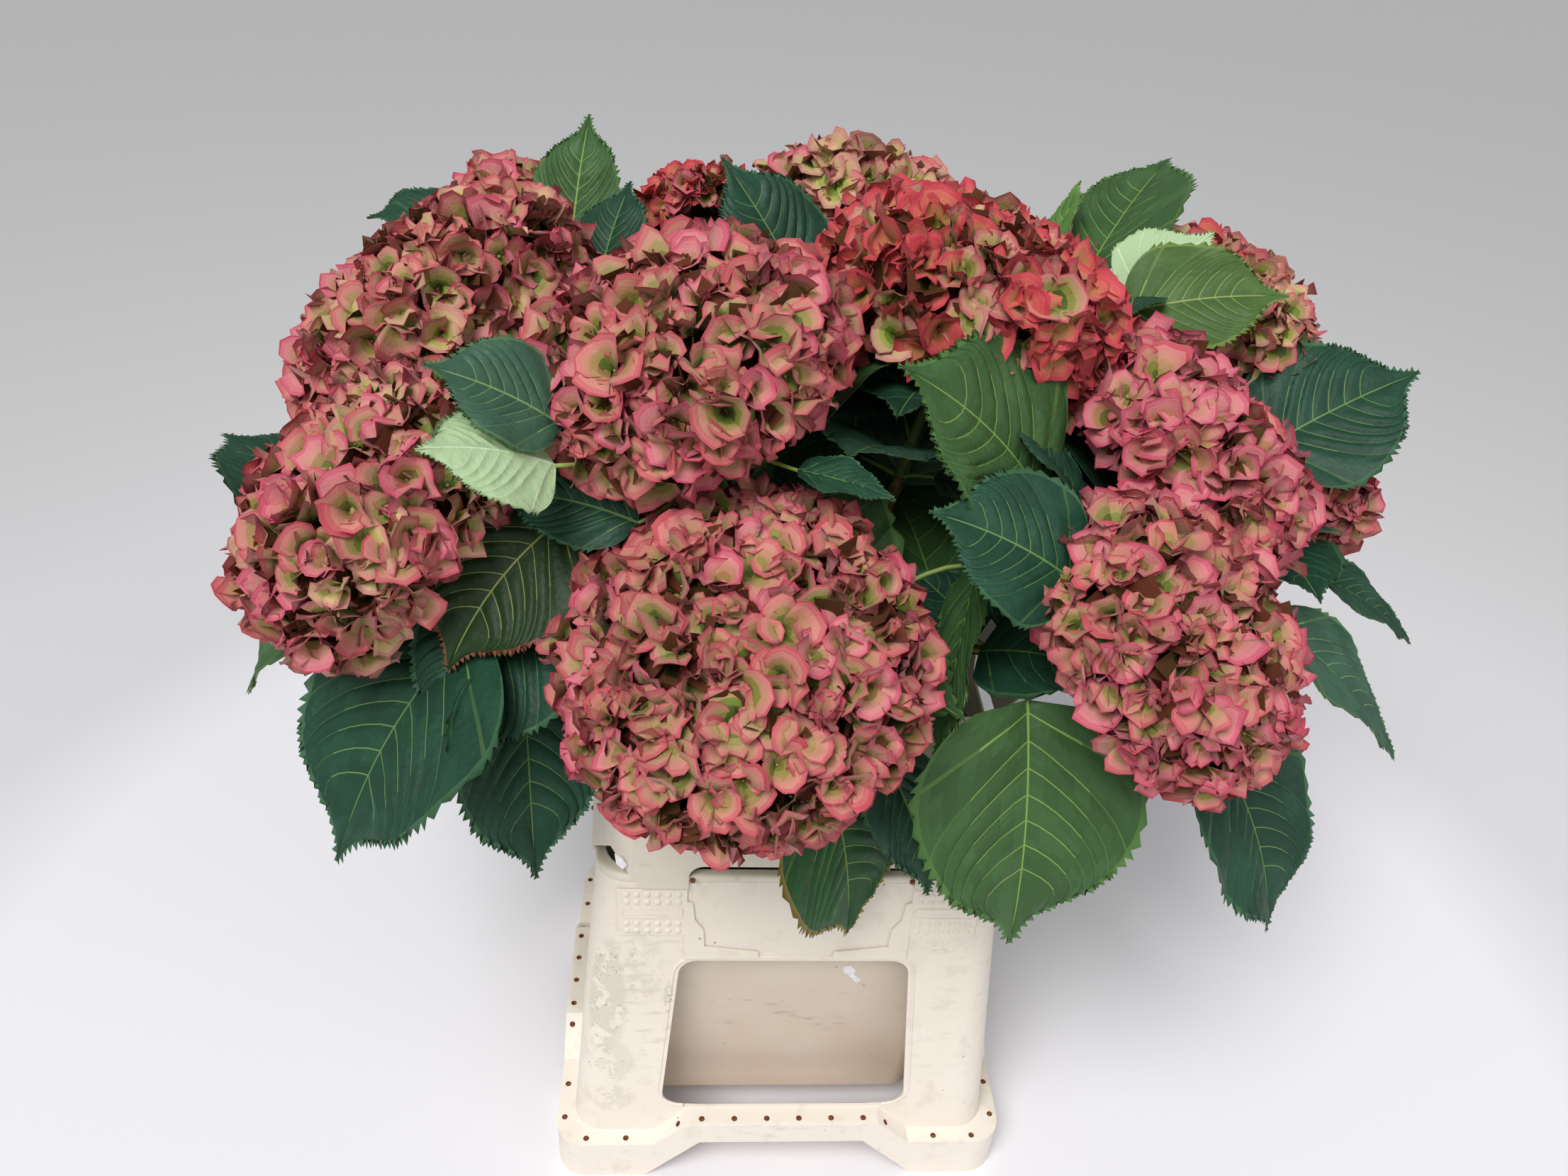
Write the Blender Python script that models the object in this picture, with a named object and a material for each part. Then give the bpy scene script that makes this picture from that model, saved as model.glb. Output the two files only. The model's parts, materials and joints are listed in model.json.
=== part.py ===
"""Cut mophead hydrangeas standing in a stackable flower crate with a slotted collar.

Metres, +Z up. The origin is on the floor under the middle of the crate, whose long front
side faces -Y. Every object is one closed solid.
"""
import math
import random

import bmesh
import bpy
from mathutils import Vector
from mathutils.bvhtree import BVHTree

MM = 0.001
GAP = 0.3 * MM
GOLDEN_ANGLE = math.pi * (3.0 - math.sqrt(5.0))

# crate, outer size and walls
BASE_HALF = (170 * MM, 141 * MM)
BASE_RADIUS = 22 * MM
CRATE_HEIGHT = 300 * MM
WALL = 2.5 * MM
LEDGE_LOW = 41.6 * MM
LEDGE_HIGH = 66.1 * MM
LEDGE_WIDTH = 12.5 * MM
ARCH_TOP = 43.6 * MM
FLANGE_HEIGHT = 6 * MM
RIM_INSET = 33 * MM
RIM_RADIUS = 23 * MM
FLANGE_OVERHANG = 0.6 * MM
CORNER_STEPS = 4

# distance from the middle of a side: where the ledge and the arch bend
FRONT_BENDS = {"arch_foot": 103 * MM, "ledge_foot": 97 * MM, "ledge_top": 72 * MM, "arch_top": 62 * MM}
SIDE_BENDS = {"arch_foot": 74 * MM, "ledge_foot": 68 * MM, "ledge_top": 43 * MM, "arch_top": 33 * MM}

# windows in the outer frame
WINDOW_FOOT = 67 * MM
WINDOW_TOP = 221 * MM
WINDOW_RADIUS = 13 * MM
FRONT_WINDOW_HALF = (92 * MM, 79.5 * MM)
SIDE_WINDOW_HALF = (63 * MM, 50.5 * MM)

# inner bucket: its halves, then corner radii outside and in, from the foot to the rim
BUCKET_FOOT = 22 * MM
BUCKET_FOOT_HALF = (108 * MM, 84 * MM)
BUCKET_TOP_HALF = (133.5 * MM, 104.5 * MM)
BUCKET_ROUNDING = 7 * MM
BUCKET_FLOOR = BUCKET_FOOT + WALL + GAP
BUCKET_OUTER_RADII = (19 * MM, 26 * MM, 22 * MM)
BUCKET_INNER_RADII = (17 * MM, 23 * MM, 20 * MM)
RIM_ROUNDING = 2 * MM

# collar
COLLAR_FOOT = 290 * MM
COLLAR_TOP = 436 * MM
COLLAR_HALF = (140 * MM, 111 * MM)
COLLAR_WALL = 1.7 * MM
COLLAR_LEAN = 6.5 * MM
COLLAR_CHAMFER = 27 * MM
COLLAR_TAB_END = 7 * MM
COLLAR_CORNER_FOOT = (302 * MM, 316 * MM)
LOW_SLOT_TOP = 310.5 * MM
HAND_SLOT = (341 * MM, 368 * MM)
FRONT_SLOT_HALF = (75 * MM, 82 * MM)
SIDE_SLOT_HALF = (50 * MM, 55 * MM)
SLOT_RADIUS = 10 * MM
SLOT_OVERCUT = 15 * MM
COLLAR_CORNER_POINTS = 5

# cut stems
STEM_RADIUS = (5.0 * MM, 3.4 * MM)
STEM_SIDES = 6
LEAFY_FOOT_RADIUS = 1.1 * STEM_RADIUS[1]
LEAFY_LENGTH = 82 * MM
# the front stem bears its leaves further out, clear of the collar's hand slot
SHORT_LEAFY = {"01": 50 * MM}
PEDUNCLE_SHARE = 0.30
OPENING_HALF = (108 * MM, 80 * MM)
OPENING_REACH = (250 * MM, 200 * MM)
FOOT_HALF = (80 * MM, 56 * MM)
FOOT_SPREAD = 0.62
STEM_SPACING = 17 * MM
SPACING_ROUNDS = 60
NECK_DROP = 4 * MM
APPROACH = 52 * MM
APPROACH_RISE = 14 * MM
PEDUNCLE_DEPTH = 0.08
WOODY_STEP = 12 * MM
LIMB_GAP = 1.3 * GAP

# blooms: middle of the dome and its radius
BLOOMS = {
    "01": ((-48, -137, 500), 106),
    "02": ((-86, -14, 617), 100),
    "03": ((-262, -42, 532), 86),
    "04": ((-247, 118, 583), 95),
    "05": ((196, -106, 499), 93),
    "06": ((240, 36, 546), 90),
    "07": ((96, 81, 627), 97),
    "08": ((34, 243, 615), 84),
    "09": ((-82, 258, 620), 64),
    "10": ((-232, 278, 600), 74),
    "11": ((302, 181, 570), 87),
    "12": ((372, 100, 490), 54),
    "13": ((-140, 285, 480), 84),
    "14": ((135, 278, 492), 84),
}
LEAN_REACH = 260 * MM
DOME_TOP = 0.68
DOME_FOOT = 0.24
CORE_SHARE = 0.80
FLORET_SHARE = 0.33
FLORETS_LEAST = 4
FLORETS_LARGE = 10
FLORET_GROWTH = 1.2
FLORET_LIMIT = math.radians(100)

# a floret, as shares of its size: its lobes' and notches' reach and lift, its cup and its foot
LOBE = (1.0, 0.20)
NOTCH = (0.70, 0.05)
CUP_DEPTH = 0.22
CUP_SINK = 0.20
FOOT_SINK = 0.35

# leaves that show: carrying stem, foot of the blade, azimuth, rise, length, width share,
# droop and roll in degrees
LEAVES = (
    ("03", (-205, -78, 478), -138, -50, 165, 0.86, 40, 0),
    ("03", (-176, -86, 462), -82, -60, 135, 0.74, 30, -35),
    ("03", (-292, -10, 466), -172, -50, 120, 0.72, 35, 0),
    ("03", (-160, -70, 486), -135, -38, 110, 0.84, 50, -20),
    ("03", (-312, 42, 460), 140, 14, 130, 0.66, 40, 10),
    ("05", (120, -117, 462), -84, -72, 165, 0.82, 35, 0),
    ("05", (243, -112, 428), -48, -58, 135, 0.80, 40, 0),
    ("06", (312, -18, 450), -22, -40, 135, 0.62, 30, 0),
    ("12", (366, 40, 450), -14, -30, 90, 0.66, 30, 0),
    ("11", (309, 84, 520), 14, 34, 95, 0.78, -20, -25),
    ("11", (202, 188, 610), 52, 24, 140, 0.70, 25, -20),
    ("11", (168, 190, 590), 60, 42, 100, 0.52, 20, -50),
    ("11", (215, 101, 612), 30, 30, 75, 0.90, -60, 150),
    ("11", (212, 112, 618), -110, 10, 60, 0.62, 60, 0),
    ("11", (200, 112, 618), -6, 12, 105, 0.66, 20, -20),
    ("06", (128, -22, 540), -170, 38, 145, 0.80, 35, 8),
    ("06", (136, -62, 520), 166, 30, 112, 0.82, 25, 0),
    ("06", (158, -30, 545), 168, 42, 85, 0.62, 20, 0),
    ("07", (-12, 160, 590), 122, 38, 96, 0.62, 15, -25),
    ("10", (-250, 214, 590), 178, 6, 80, 0.60, 30, 20),
    ("10", (-232, 208, 542), 108, 44, 64, 0.62, 20, 10),
    ("09", (-172, 214, 598), 80, 52, 105, 0.56, 20, 0),
    ("09", (-145, 216, 578), 98, 8, 105, 0.56, 10, 180),
    ("04", (-150, 168, 586), 70, 44, 90, 0.66, 30, -10),
    ("09", (-96, 220, 566), 116, 14, 68, 0.58, 20, -30),
    ("02", (-152, -38, 546), 150, 20, 76, 0.72, 20, -20),
    ("02", (-158, -52, 550), 158, -12, 85, 0.74, 25, 160),
    ("02", (-148, -58, 545), -146, -40, 105, 0.70, 45, -30),
    ("02", (-108, -84, 556), 168, 4, 85, 0.52, 30, -50),
    ("01", (2, -130, 420), -42, -76, 125, 0.76, 30, 0),
    ("01", (34, -122, 428), -28, -66, 115, 0.42, 30, 50),
    ("01", (90, -66, 520), -108, -54, 125, 0.40, 30, 60),
    ("02", (-22, -84, 592), -18, -8, 55, 0.62, 20, 0),
    ("08", (66, 290, 462), 74, -58, 130, 0.72, 40, 0),
    ("08", (-4, 300, 508), 112, -36, 120, 0.70, 40, 0),
    ("13", (-150, 306, 362), 104, -56, 140, 0.80, 40, 0),
    ("13", (-196, 265, 392), 160, -50, 135, 0.76, 40, 0),
    ("14", (150, 316, 414), 70, -56, 150, 0.80, 40, 0),
    ("14", (195, 262, 428), 14, -48, 135, 0.76, 40, 0),
    ("10", (-271, 259, 510), 160, -38, 125, 0.72, 40, 0),
    ("11", (322, 210, 460), 32, -44, 140, 0.76, 40, 0),
    ("04", (-282, 150, 474), 150, -48, 145, 0.78, 40, 0),
    ("12", (362, 130, 440), 40, -52, 115, 0.74, 40, 0),
    ("02", (-62, 66, 545), 84, 22, 110, 0.74, 30, 0),
    ("04", (-176, 86, 545), -24, 14, 110, 0.76, 30, 0),
    ("08", (24, 168, 560), -112, -4, 110, 0.72, 30, 0),
    ("11", (222, 150, 560), 172, 22, 95, 0.72, 30, 0),
    ("09", (-82, 196, 552), -70, -6, 110, 0.74, 30, 0),
)
LEAF_STATIONS = (0.0, 0.15, 0.42, 0.76, 1.0)
LEAF_EDGE = 1.5 * MM
LEAF_RIB = 2.4 * MM
LEAF_END = 2 * MM
LEAF_LEAST_HALF = 1.3 * MM
LEAF_FOLD = 0.22
LEAF_STALK = (1.4 * MM, 2.4 * MM)
LEAF_STALK_SINK = 0.5 * MM
# an ovate outline: where it is widest, how full it is, and how much its tip is drawn in
LEAF_BALANCE = 0.72
LEAF_FULLNESS = 0.8
LEAF_TIP_TAPER = 0.35
# a leaf leaves its stem within this share of a stretch between two points of the route
NODE_SHARE = (0.15, 0.85)


def clear_scene():
    for thing in list(bpy.context.scene.objects):
        bpy.data.objects.remove(thing, do_unlink=True)


def material(name, colour, roughness, metallic=0.0):
    made = bpy.data.materials.new(name)
    made.use_nodes = True
    shader = made.node_tree.nodes["Principled BSDF"]
    shader.inputs["Base Color"].default_value = (*colour, 1.0)
    shader.inputs["Roughness"].default_value = roughness
    shader.inputs["Metallic"].default_value = metallic
    made.diffuse_color = (*colour, 1.0)
    return made


def mesh_object(name, points, faces, finish=None):
    mesh = bpy.data.meshes.new(name)
    mesh.from_pydata([tuple(p) for p in points], [], faces)
    shell = bmesh.new()
    shell.from_mesh(mesh)
    bmesh.ops.recalc_face_normals(shell, faces=shell.faces)
    shell.to_mesh(mesh)
    shell.free()
    made = bpy.data.objects.new(name, mesh)
    bpy.context.scene.collection.objects.link(made)
    if finish:
        mesh.materials.append(finish)
    return made


def loft(rings, wrap=False):
    """Points and faces through closed rings; wrap joins the last ring to the first."""
    count = len(rings[0])
    points = [p for ring in rings for p in ring]
    faces = []
    for level in range(len(rings) if wrap else len(rings) - 1):
        lower = level * count
        upper = (level + 1) % len(rings) * count
        for i in range(count):
            j = (i + 1) % count
            faces.append((lower + i, lower + j, upper + j, upper + i))
    if not wrap:
        faces.append(tuple(reversed(range(count))))
        faces.append(tuple(range(len(points) - count, len(points))))
    return points, faces


def rounded_rectangle(half, radius, z, segments=CORNER_STEPS):
    ring = []
    for quarter, (sx, sy) in enumerate(((1, -1), (1, 1), (-1, 1), (-1, -1))):
        for step in range(segments + 1):
            angle = math.radians(90 * (quarter - 1 + step / segments))
            ring.append(Vector((sx * (half[0] - radius) + radius * math.cos(angle),
                                sy * (half[1] - radius) + radius * math.sin(angle), z)))
    return ring


def rounded_outline(corners, radius, segments=3):
    """Outline through the corners with an arc at each."""
    outline = []
    for i, corner in enumerate(corners):
        here = Vector(corner)
        back = (Vector(corners[i - 1]) - here).normalized()
        ahead = (Vector(corners[(i + 1) % len(corners)]) - here).normalized()
        half_angle = back.angle(ahead) / 2
        reach = radius / math.tan(half_angle)
        middle = here + (back + ahead).normalized() * radius / math.sin(half_angle)
        start = here + back * reach - middle
        end = here + ahead * reach - middle
        for step in range(segments + 1):
            share = step / segments
            outline.append(middle + (start * (1 - share) + end * share).normalized() * radius)
    return outline


def cutter(name, outline, along, reach):
    """A prism with the outline (across, up), from reach[0] to reach[1] along X or Y."""
    def place(point, depth):
        return (depth, point[0], point[1]) if along == "x" else (point[0], depth, point[1])
    rings = [[place(p, depth) for p in outline] for depth in reach]
    tool = mesh_object(name, *loft(rings))
    tool.display_type = "WIRE"
    tool.hide_render = True
    return tool


def cut(body, tool):
    step = body.modifiers.new("Cut " + tool.name, "BOOLEAN")
    step.operation = "DIFFERENCE"
    step.solver = "EXACT"
    step.object = tool


def bend_share(distance, foot, top):
    """0 outside the foot of a slope, 1 inside its top."""
    return min(1.0, max(0.0, (foot - abs(distance)) / (foot - top)))


def crate_stations():
    """Round the base from front left: side or corner, place along the side, ledge, arch."""
    stations = []
    for side in range(4):
        bends = FRONT_BENDS if side % 2 == 0 else SIDE_BENDS
        places = sorted(set(bends.values()))
        for place in [-p for p in reversed(places)] + places:
            ledge = bend_share(place, bends["ledge_foot"], bends["ledge_top"])
            arch = bend_share(place, bends["arch_foot"], bends["arch_top"])
            stations.append((side, place, LEDGE_LOW + ledge * (LEDGE_HIGH - LEDGE_LOW), arch * ARCH_TOP))
        for step in range(CORNER_STEPS + 1):
            stations.append((side, step / CORNER_STEPS, LEDGE_LOW, None))
    return stations


def station_point(station, half, radius, z):
    side, place, _, arch = station
    turn = ((1, 0), (0, 1), (-1, 0), (0, -1))[side]
    out = (turn[1], -turn[0])
    along = half[side % 2]
    away = half[1 - side % 2]
    if arch is None:
        angle = math.radians(90 * place)
        along = along - radius + radius * math.sin(angle)
        away = away - radius + radius * math.cos(angle)
    else:
        along = place
    return Vector((turn[0] * along + out[0] * away, turn[1] * along + out[1] * away, z))


def inset(half, distance):
    return half[0] - distance, half[1] - distance


def crate_frame(finish):
    frame_top = CRATE_HEIGHT - FLANGE_HEIGHT - GAP
    sections = []
    for station in crate_stations():
        ledge = station[2]
        foot = station[3] or 0.0
        wall_inset = LEDGE_WIDTH + (ledge - LEDGE_LOW) * (RIM_INSET - LEDGE_WIDTH) / (CRATE_HEIGHT - LEDGE_LOW)
        profile = (
            (0.0, BASE_RADIUS, foot),
            (0.0, BASE_RADIUS, ledge),
            (wall_inset, BASE_RADIUS, ledge),
            (RIM_INSET, RIM_RADIUS, frame_top),
            (RIM_INSET + WALL, RIM_RADIUS - WALL, frame_top),
            (wall_inset + WALL, BASE_RADIUS - WALL, ledge - WALL),
            (WALL, BASE_RADIUS - WALL, ledge - WALL),
            (WALL, BASE_RADIUS - WALL, foot),
        )
        sections.append([station_point(station, inset(BASE_HALF, d), r, z) for d, r, z in profile])
    points, faces = loft(sections, wrap=True)
    frame = mesh_object("crate_outer_frame", points, faces, finish)
    for name, along, halves, away in (("front", "y", FRONT_WINDOW_HALF, BASE_HALF[1]),
                                      ("side", "x", SIDE_WINDOW_HALF, BASE_HALF[0])):
        corners = ((-halves[0], WINDOW_FOOT), (halves[0], WINDOW_FOOT),
                   (halves[1], WINDOW_TOP), (-halves[1], WINDOW_TOP))
        outline = rounded_outline(corners, WINDOW_RADIUS)
        for sign in (-1, 1):
            reach = (sign * (away - RIM_INSET - 2 * WALL), sign * (away + WALL))
            cut(frame, cutter("window_" + name + ("_a" if sign < 0 else "_b"), outline, along, reach))
    return frame


def crate_bucket(finish):
    flange_foot = CRATE_HEIGHT - FLANGE_HEIGHT
    flange_half = inset(BASE_HALF, RIM_INSET - FLANGE_OVERHANG)
    outer = BUCKET_OUTER_RADII
    inner = BUCKET_INNER_RADII
    profile = (
        (inset(BUCKET_FOOT_HALF, BUCKET_ROUNDING), outer[0], BUCKET_FOOT),
        (BUCKET_FOOT_HALF, outer[1], BUCKET_FOOT + BUCKET_ROUNDING),
        (BUCKET_TOP_HALF, outer[2], flange_foot),
        (flange_half, RIM_RADIUS, flange_foot),
        (flange_half, RIM_RADIUS, CRATE_HEIGHT - RIM_ROUNDING),
        (inset(flange_half, RIM_ROUNDING), RIM_RADIUS - RIM_ROUNDING, CRATE_HEIGHT),
        (inset(BUCKET_TOP_HALF, WALL), inner[2], CRATE_HEIGHT),
        (inset(BUCKET_FOOT_HALF, WALL), inner[1], BUCKET_FOOT + BUCKET_ROUNDING + WALL / 2),
        (inset(BUCKET_FOOT_HALF, BUCKET_ROUNDING + WALL), inner[0], BUCKET_FLOOR),
    )
    points, faces = loft([rounded_rectangle(half, radius, z) for half, radius, z in profile])
    return mesh_object("crate_inner_bucket", points, faces, finish)


def collar_ring(lift, spread):
    """The collar's eight-sided ring with extra points where its lower edge turns.

    lift gives the height of a point from its kind, spread its distance outward.
    """
    half_x = COLLAR_HALF[0] + spread
    half_y = COLLAR_HALF[1] + spread
    chamfer = COLLAR_CHAMFER + spread * (2 - math.sqrt(2))
    ring = []
    for sx, sy, flip in ((1, -1, False), (1, 1, True), (-1, 1, False), (-1, -1, True)):
        corner = (
            ("tab", half_x - chamfer - COLLAR_TAB_END, half_y),
            ("crease", half_x - chamfer, half_y),
            ("middle", half_x - chamfer / 2, half_y - chamfer / 2),
            ("crease", half_x, half_y - chamfer),
            ("tab", half_x, half_y - chamfer - COLLAR_TAB_END),
        )
        for kind, x, y in (reversed(corner) if flip else corner):
            ring.append(Vector((sx * x, sy * y, lift[kind])))
    return ring


def collar_panel(name, rings, first, last, finish):
    """The stretch of the folded sheet between two of its ring's points, GAP short of its neighbours."""
    count = len(rings[0])
    sections = [[ring[i % count].copy() for ring in rings] for i in range(first, last + 1)]
    for end, beside in ((0, 1), (-1, -2)):
        shift = (sections[beside][0] - sections[end][0]).normalized() * GAP / 2
        for point in sections[end]:
            point += shift
    return mesh_object("crate_collar_" + name, *loft(sections), finish)


def slot_outlines(halves):
    """The low slot, open at the collar's foot, and the hand slot above it."""
    below = COLLAR_FOOT - SLOT_OVERCUT
    low = ((-halves[0], below), (halves[0], below), (halves[0], LOW_SLOT_TOP), (-halves[0], LOW_SLOT_TOP))
    high = ((-halves[1], HAND_SLOT[0]), (halves[1], HAND_SLOT[0]),
            (halves[1], HAND_SLOT[1]), (-halves[1], HAND_SLOT[1]))
    return {"low": rounded_outline(low, SLOT_RADIUS), "hand": rounded_outline(high, SLOT_RADIUS)}


def collar(finish):
    """Four slotted walls and four corner strips of one sheet that is folded round the rim."""
    foot = {"tab": COLLAR_FOOT, "crease": COLLAR_CORNER_FOOT[0], "middle": COLLAR_CORNER_FOOT[1]}
    top = dict.fromkeys(foot, COLLAR_TOP)
    rings = [collar_ring(foot, 0.0), collar_ring(top, -COLLAR_LEAN),
             collar_ring(top, -COLLAR_LEAN - COLLAR_WALL), collar_ring(foot, -COLLAR_WALL)]
    panels = []
    for corner, name in enumerate(("front_right", "back_right", "back_left", "front_left")):
        start = corner * COLLAR_CORNER_POINTS
        panels.append(collar_panel(name, rings, start + 1, start + 3, finish))
    for side, (name, axis, sign) in enumerate((("right", 0, 1), ("back", 1, 1),
                                               ("left", 0, -1), ("front", 1, -1))):
        start = side * COLLAR_CORNER_POINTS
        wall = collar_panel(name, rings, start + 3, start + 6, finish)
        panels.append(wall)
        reach = (sign * (COLLAR_HALF[axis] - SLOT_OVERCUT), sign * (COLLAR_HALF[axis] + SLOT_OVERCUT))
        for kind, outline in slot_outlines(FRONT_SLOT_HALF if axis else SIDE_SLOT_HALF).items():
            cut(wall, cutter(f"slot_{kind}_{name}", outline, "y" if axis else "x", reach))
    return panels


def bloom_axis(middle):
    """Blooms lean outward, the further the more."""
    return Vector((middle.x / LEAN_REACH, middle.y / LEAN_REACH, 1.0)).normalized()


def squeezed(value, half, reach):
    return half * math.tanh(value / reach)


def spread_apart(places, spacing, half):
    """Push places that are too close apart, inside a rectangle."""
    places = [Vector(p) for p in places]
    for _ in range(SPACING_ROUNDS):
        for i, here in enumerate(places):
            for there in places[:i]:
                offset = here - there
                short = spacing - offset.length
                if short > 0:
                    push = offset.normalized() * short / 2
                    here += push
                    there -= push
        for here in places:
            here.x = min(half[0], max(-half[0], here.x))
            here.y = min(half[1], max(-half[1], here.y))
    return places


def smooth_route(knots, count):
    """Catmull-Rom curve through the knots, count points for each span."""
    ends = [knots[0] * 2 - knots[1]] + knots + [knots[-1] * 2 - knots[-2]]
    route = []
    for i in range(1, len(ends) - 2):
        a, b, c, d = ends[i - 1:i + 3]
        for step in range(count):
            t = step / count
            route.append(0.5 * (2 * b + (c - a) * t + (2 * a - 5 * b + 4 * c - d) * t * t
                                + (3 * b - a - 3 * c + d) * t ** 3))
    route.append(knots[-1])
    return route


def cut_route(route, distance):
    """Split a route at a distance from its end: both parts, LIMB_GAP apart, and the cut's axis."""
    lengths = [(b - a).length for a, b in zip(route, route[1:])]
    total = sum(lengths)

    def point_at(reach):
        for i, length in enumerate(lengths):
            if reach <= length:
                return route[i].lerp(route[i + 1], reach / length), i
            reach -= length
        return route[-1], len(lengths) - 1

    low, low_index = point_at(total - distance)
    high, high_index = point_at(total - distance + LIMB_GAP)
    axis = (route[low_index + 1] - route[low_index]).normalized()
    return route[:low_index + 1] + [low], [high] + route[high_index + 1:], axis


def tidy_route(route, shortest=3 * MM):
    """Drop points nearly on top of one another, keeping both ends."""
    kept = [route[0]]
    for point in route[1:-1]:
        if (point - kept[-1]).length > shortest and (point - route[-1]).length > shortest:
            kept.append(point)
    return kept + [route[-1]]


def tube(route, radii, foot_axis, tip_axis=None):
    """Points and faces of a capped limb along a route, tapering between two radii."""
    side = None
    rings = []
    for i, here in enumerate(route):
        ahead = (route[min(i + 1, len(route) - 1)] - route[max(i - 1, 0)]).normalized()
        if i == 0:
            ahead = foot_axis
        elif tip_axis and i == len(route) - 1:
            ahead = tip_axis
        if side is None:
            side = ahead.orthogonal().normalized()
        side = (side - ahead * side.dot(ahead)).normalized()
        across = ahead.cross(side)
        radius = radii[0] + (radii[1] - radii[0]) * i / (len(route) - 1)
        rings.append([here + radius * (side * math.cos(a) + across * math.sin(a))
                      for a in (2 * math.pi * k / STEM_SIDES for k in range(STEM_SIDES))])
    return loft(rings)


def stem_plan():
    """Middle, axis, radius and route of each cut stem, from its foot into the bloom."""
    names = list(BLOOMS)
    middles = [Vector(BLOOMS[name][0]) * MM for name in names]
    openings = spread_apart([Vector((squeezed(m.x, OPENING_HALF[0], OPENING_REACH[0]),
                                     squeezed(m.y, OPENING_HALF[1], OPENING_REACH[1]))) for m in middles],
                            STEM_SPACING, OPENING_HALF)
    feet = spread_apart([p * FOOT_SPREAD for p in openings], STEM_SPACING, FOOT_HALF)
    plan = {}
    for name, middle, opening, foot in zip(names, middles, openings, feet):
        radius = BLOOMS[name][1] * MM
        axis = bloom_axis(middle)
        seat = middle - axis * radius * DOME_FOOT * CORE_SHARE
        start = Vector((foot.x, foot.y, BUCKET_FLOOR + GAP))
        neck = Vector((opening.x, opening.y, COLLAR_TOP - NECK_DROP))
        approach = seat - axis * APPROACH
        approach.z = max(approach.z, COLLAR_TOP + APPROACH_RISE)
        knots = [start, start.lerp(neck, 0.5), neck, approach, seat + axis * radius * PEDUNCLE_DEPTH]
        plan[name] = {"middle": middle, "axis": axis, "radius": radius, "route": smooth_route(knots, 4)}
    return plan


def stem_limbs(plan, bark, green):
    """The bare limb of each stem and the leafy top that its leaves are fused to."""
    limbs = []
    stalks = {}
    for name, bloom in plan.items():
        lower, top, neck_axis = cut_route(bloom["route"], bloom["radius"] * PEDUNCLE_SHARE)
        woody, leafy, fork_axis = cut_route(lower, SHORT_LEAFY.get(name, LEAFY_LENGTH))
        bloom["leafy"] = tidy_route(leafy)
        bloom["peduncle"] = tube(tidy_route(top), (STEM_RADIUS[1], STEM_RADIUS[1]), neck_axis)
        limb = tube(tidy_route(woody, WOODY_STEP), STEM_RADIUS, Vector((0, 0, 1)), fork_axis)
        limbs.append(mesh_object("stem_" + name, *limb, bark))
        stalk = tube(bloom["leafy"], (LEAFY_FOOT_RADIUS, STEM_RADIUS[1]), fork_axis, neck_axis)
        stalks[name] = mesh_object("leaves_" + name, *stalk, green)
    return limbs, stalks


def dome_point(bloom, polar, around, share):
    """A point on a bloom's dome: polar angle from its axis, share of its full size."""
    axis = bloom["axis"]
    side = axis.orthogonal().normalized()
    across = axis.cross(side)
    rise = math.cos(polar) * (DOME_TOP if polar < math.pi / 2 else DOME_FOOT)
    flat = math.sin(polar)
    out = side * math.cos(around) + across * math.sin(around)
    return bloom["middle"] + (axis * rise + out * flat) * bloom["radius"] * share


def dome_normal(bloom, polar, around):
    near = 0.01
    here = dome_point(bloom, polar, around, 1.0)
    down = dome_point(bloom, polar + near, around, 1.0) - here
    turn = dome_point(bloom, polar, around + near, 1.0) - here
    return down.cross(turn).normalized()


def bloom_core(name, bloom, finish, around=10, levels=6):
    rings = []
    for level in range(1, levels):
        polar = math.pi * level / levels
        rings.append([dome_point(bloom, polar, 2 * math.pi * k / around, CORE_SHARE) for k in range(around)])
    points = [p for ring in rings for p in ring]
    count = len(points)
    points += [dome_point(bloom, 0.0, 0.0, CORE_SHARE), dome_point(bloom, math.pi, 0.0, CORE_SHARE)]
    faces = []
    for level in range(levels - 2):
        for k in range(around):
            a = level * around + k
            b = level * around + (k + 1) % around
            faces.append((a, b, b + around, a + around))
    last = (levels - 2) * around
    for k in range(around):
        faces.append((count, k, (k + 1) % around))
        faces.append((count + 1, last + (k + 1) % around, last + k))
    return mesh_object("bloom_" + name, points, faces, finish)


def dome_reach(bloom, direction, share):
    """How far a bloom's dome reaches from its middle in a direction."""
    along = direction.dot(bloom["axis"])
    flat = 1 - along * along
    height = DOME_TOP if along > 0 else DOME_FOOT
    return bloom["radius"] * share / math.sqrt(along * along / height ** 2 + flat)


def dome_support(bloom, direction, share):
    """How far out a flat plane across a direction has to lie to clear a bloom's dome."""
    along = direction.dot(bloom["axis"])
    flat = math.sqrt(max(0.0, 1 - along * along))
    height = DOME_TOP if along > 0 else DOME_FOOT
    return bloom["radius"] * share * math.hypot(height * along, flat)


def in_core(point, bloom):
    """Whether a point lies inside a bloom's core."""
    offset = point - bloom["middle"]
    return offset.length < dome_reach(bloom, offset.normalized(), CORE_SHARE)


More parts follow.
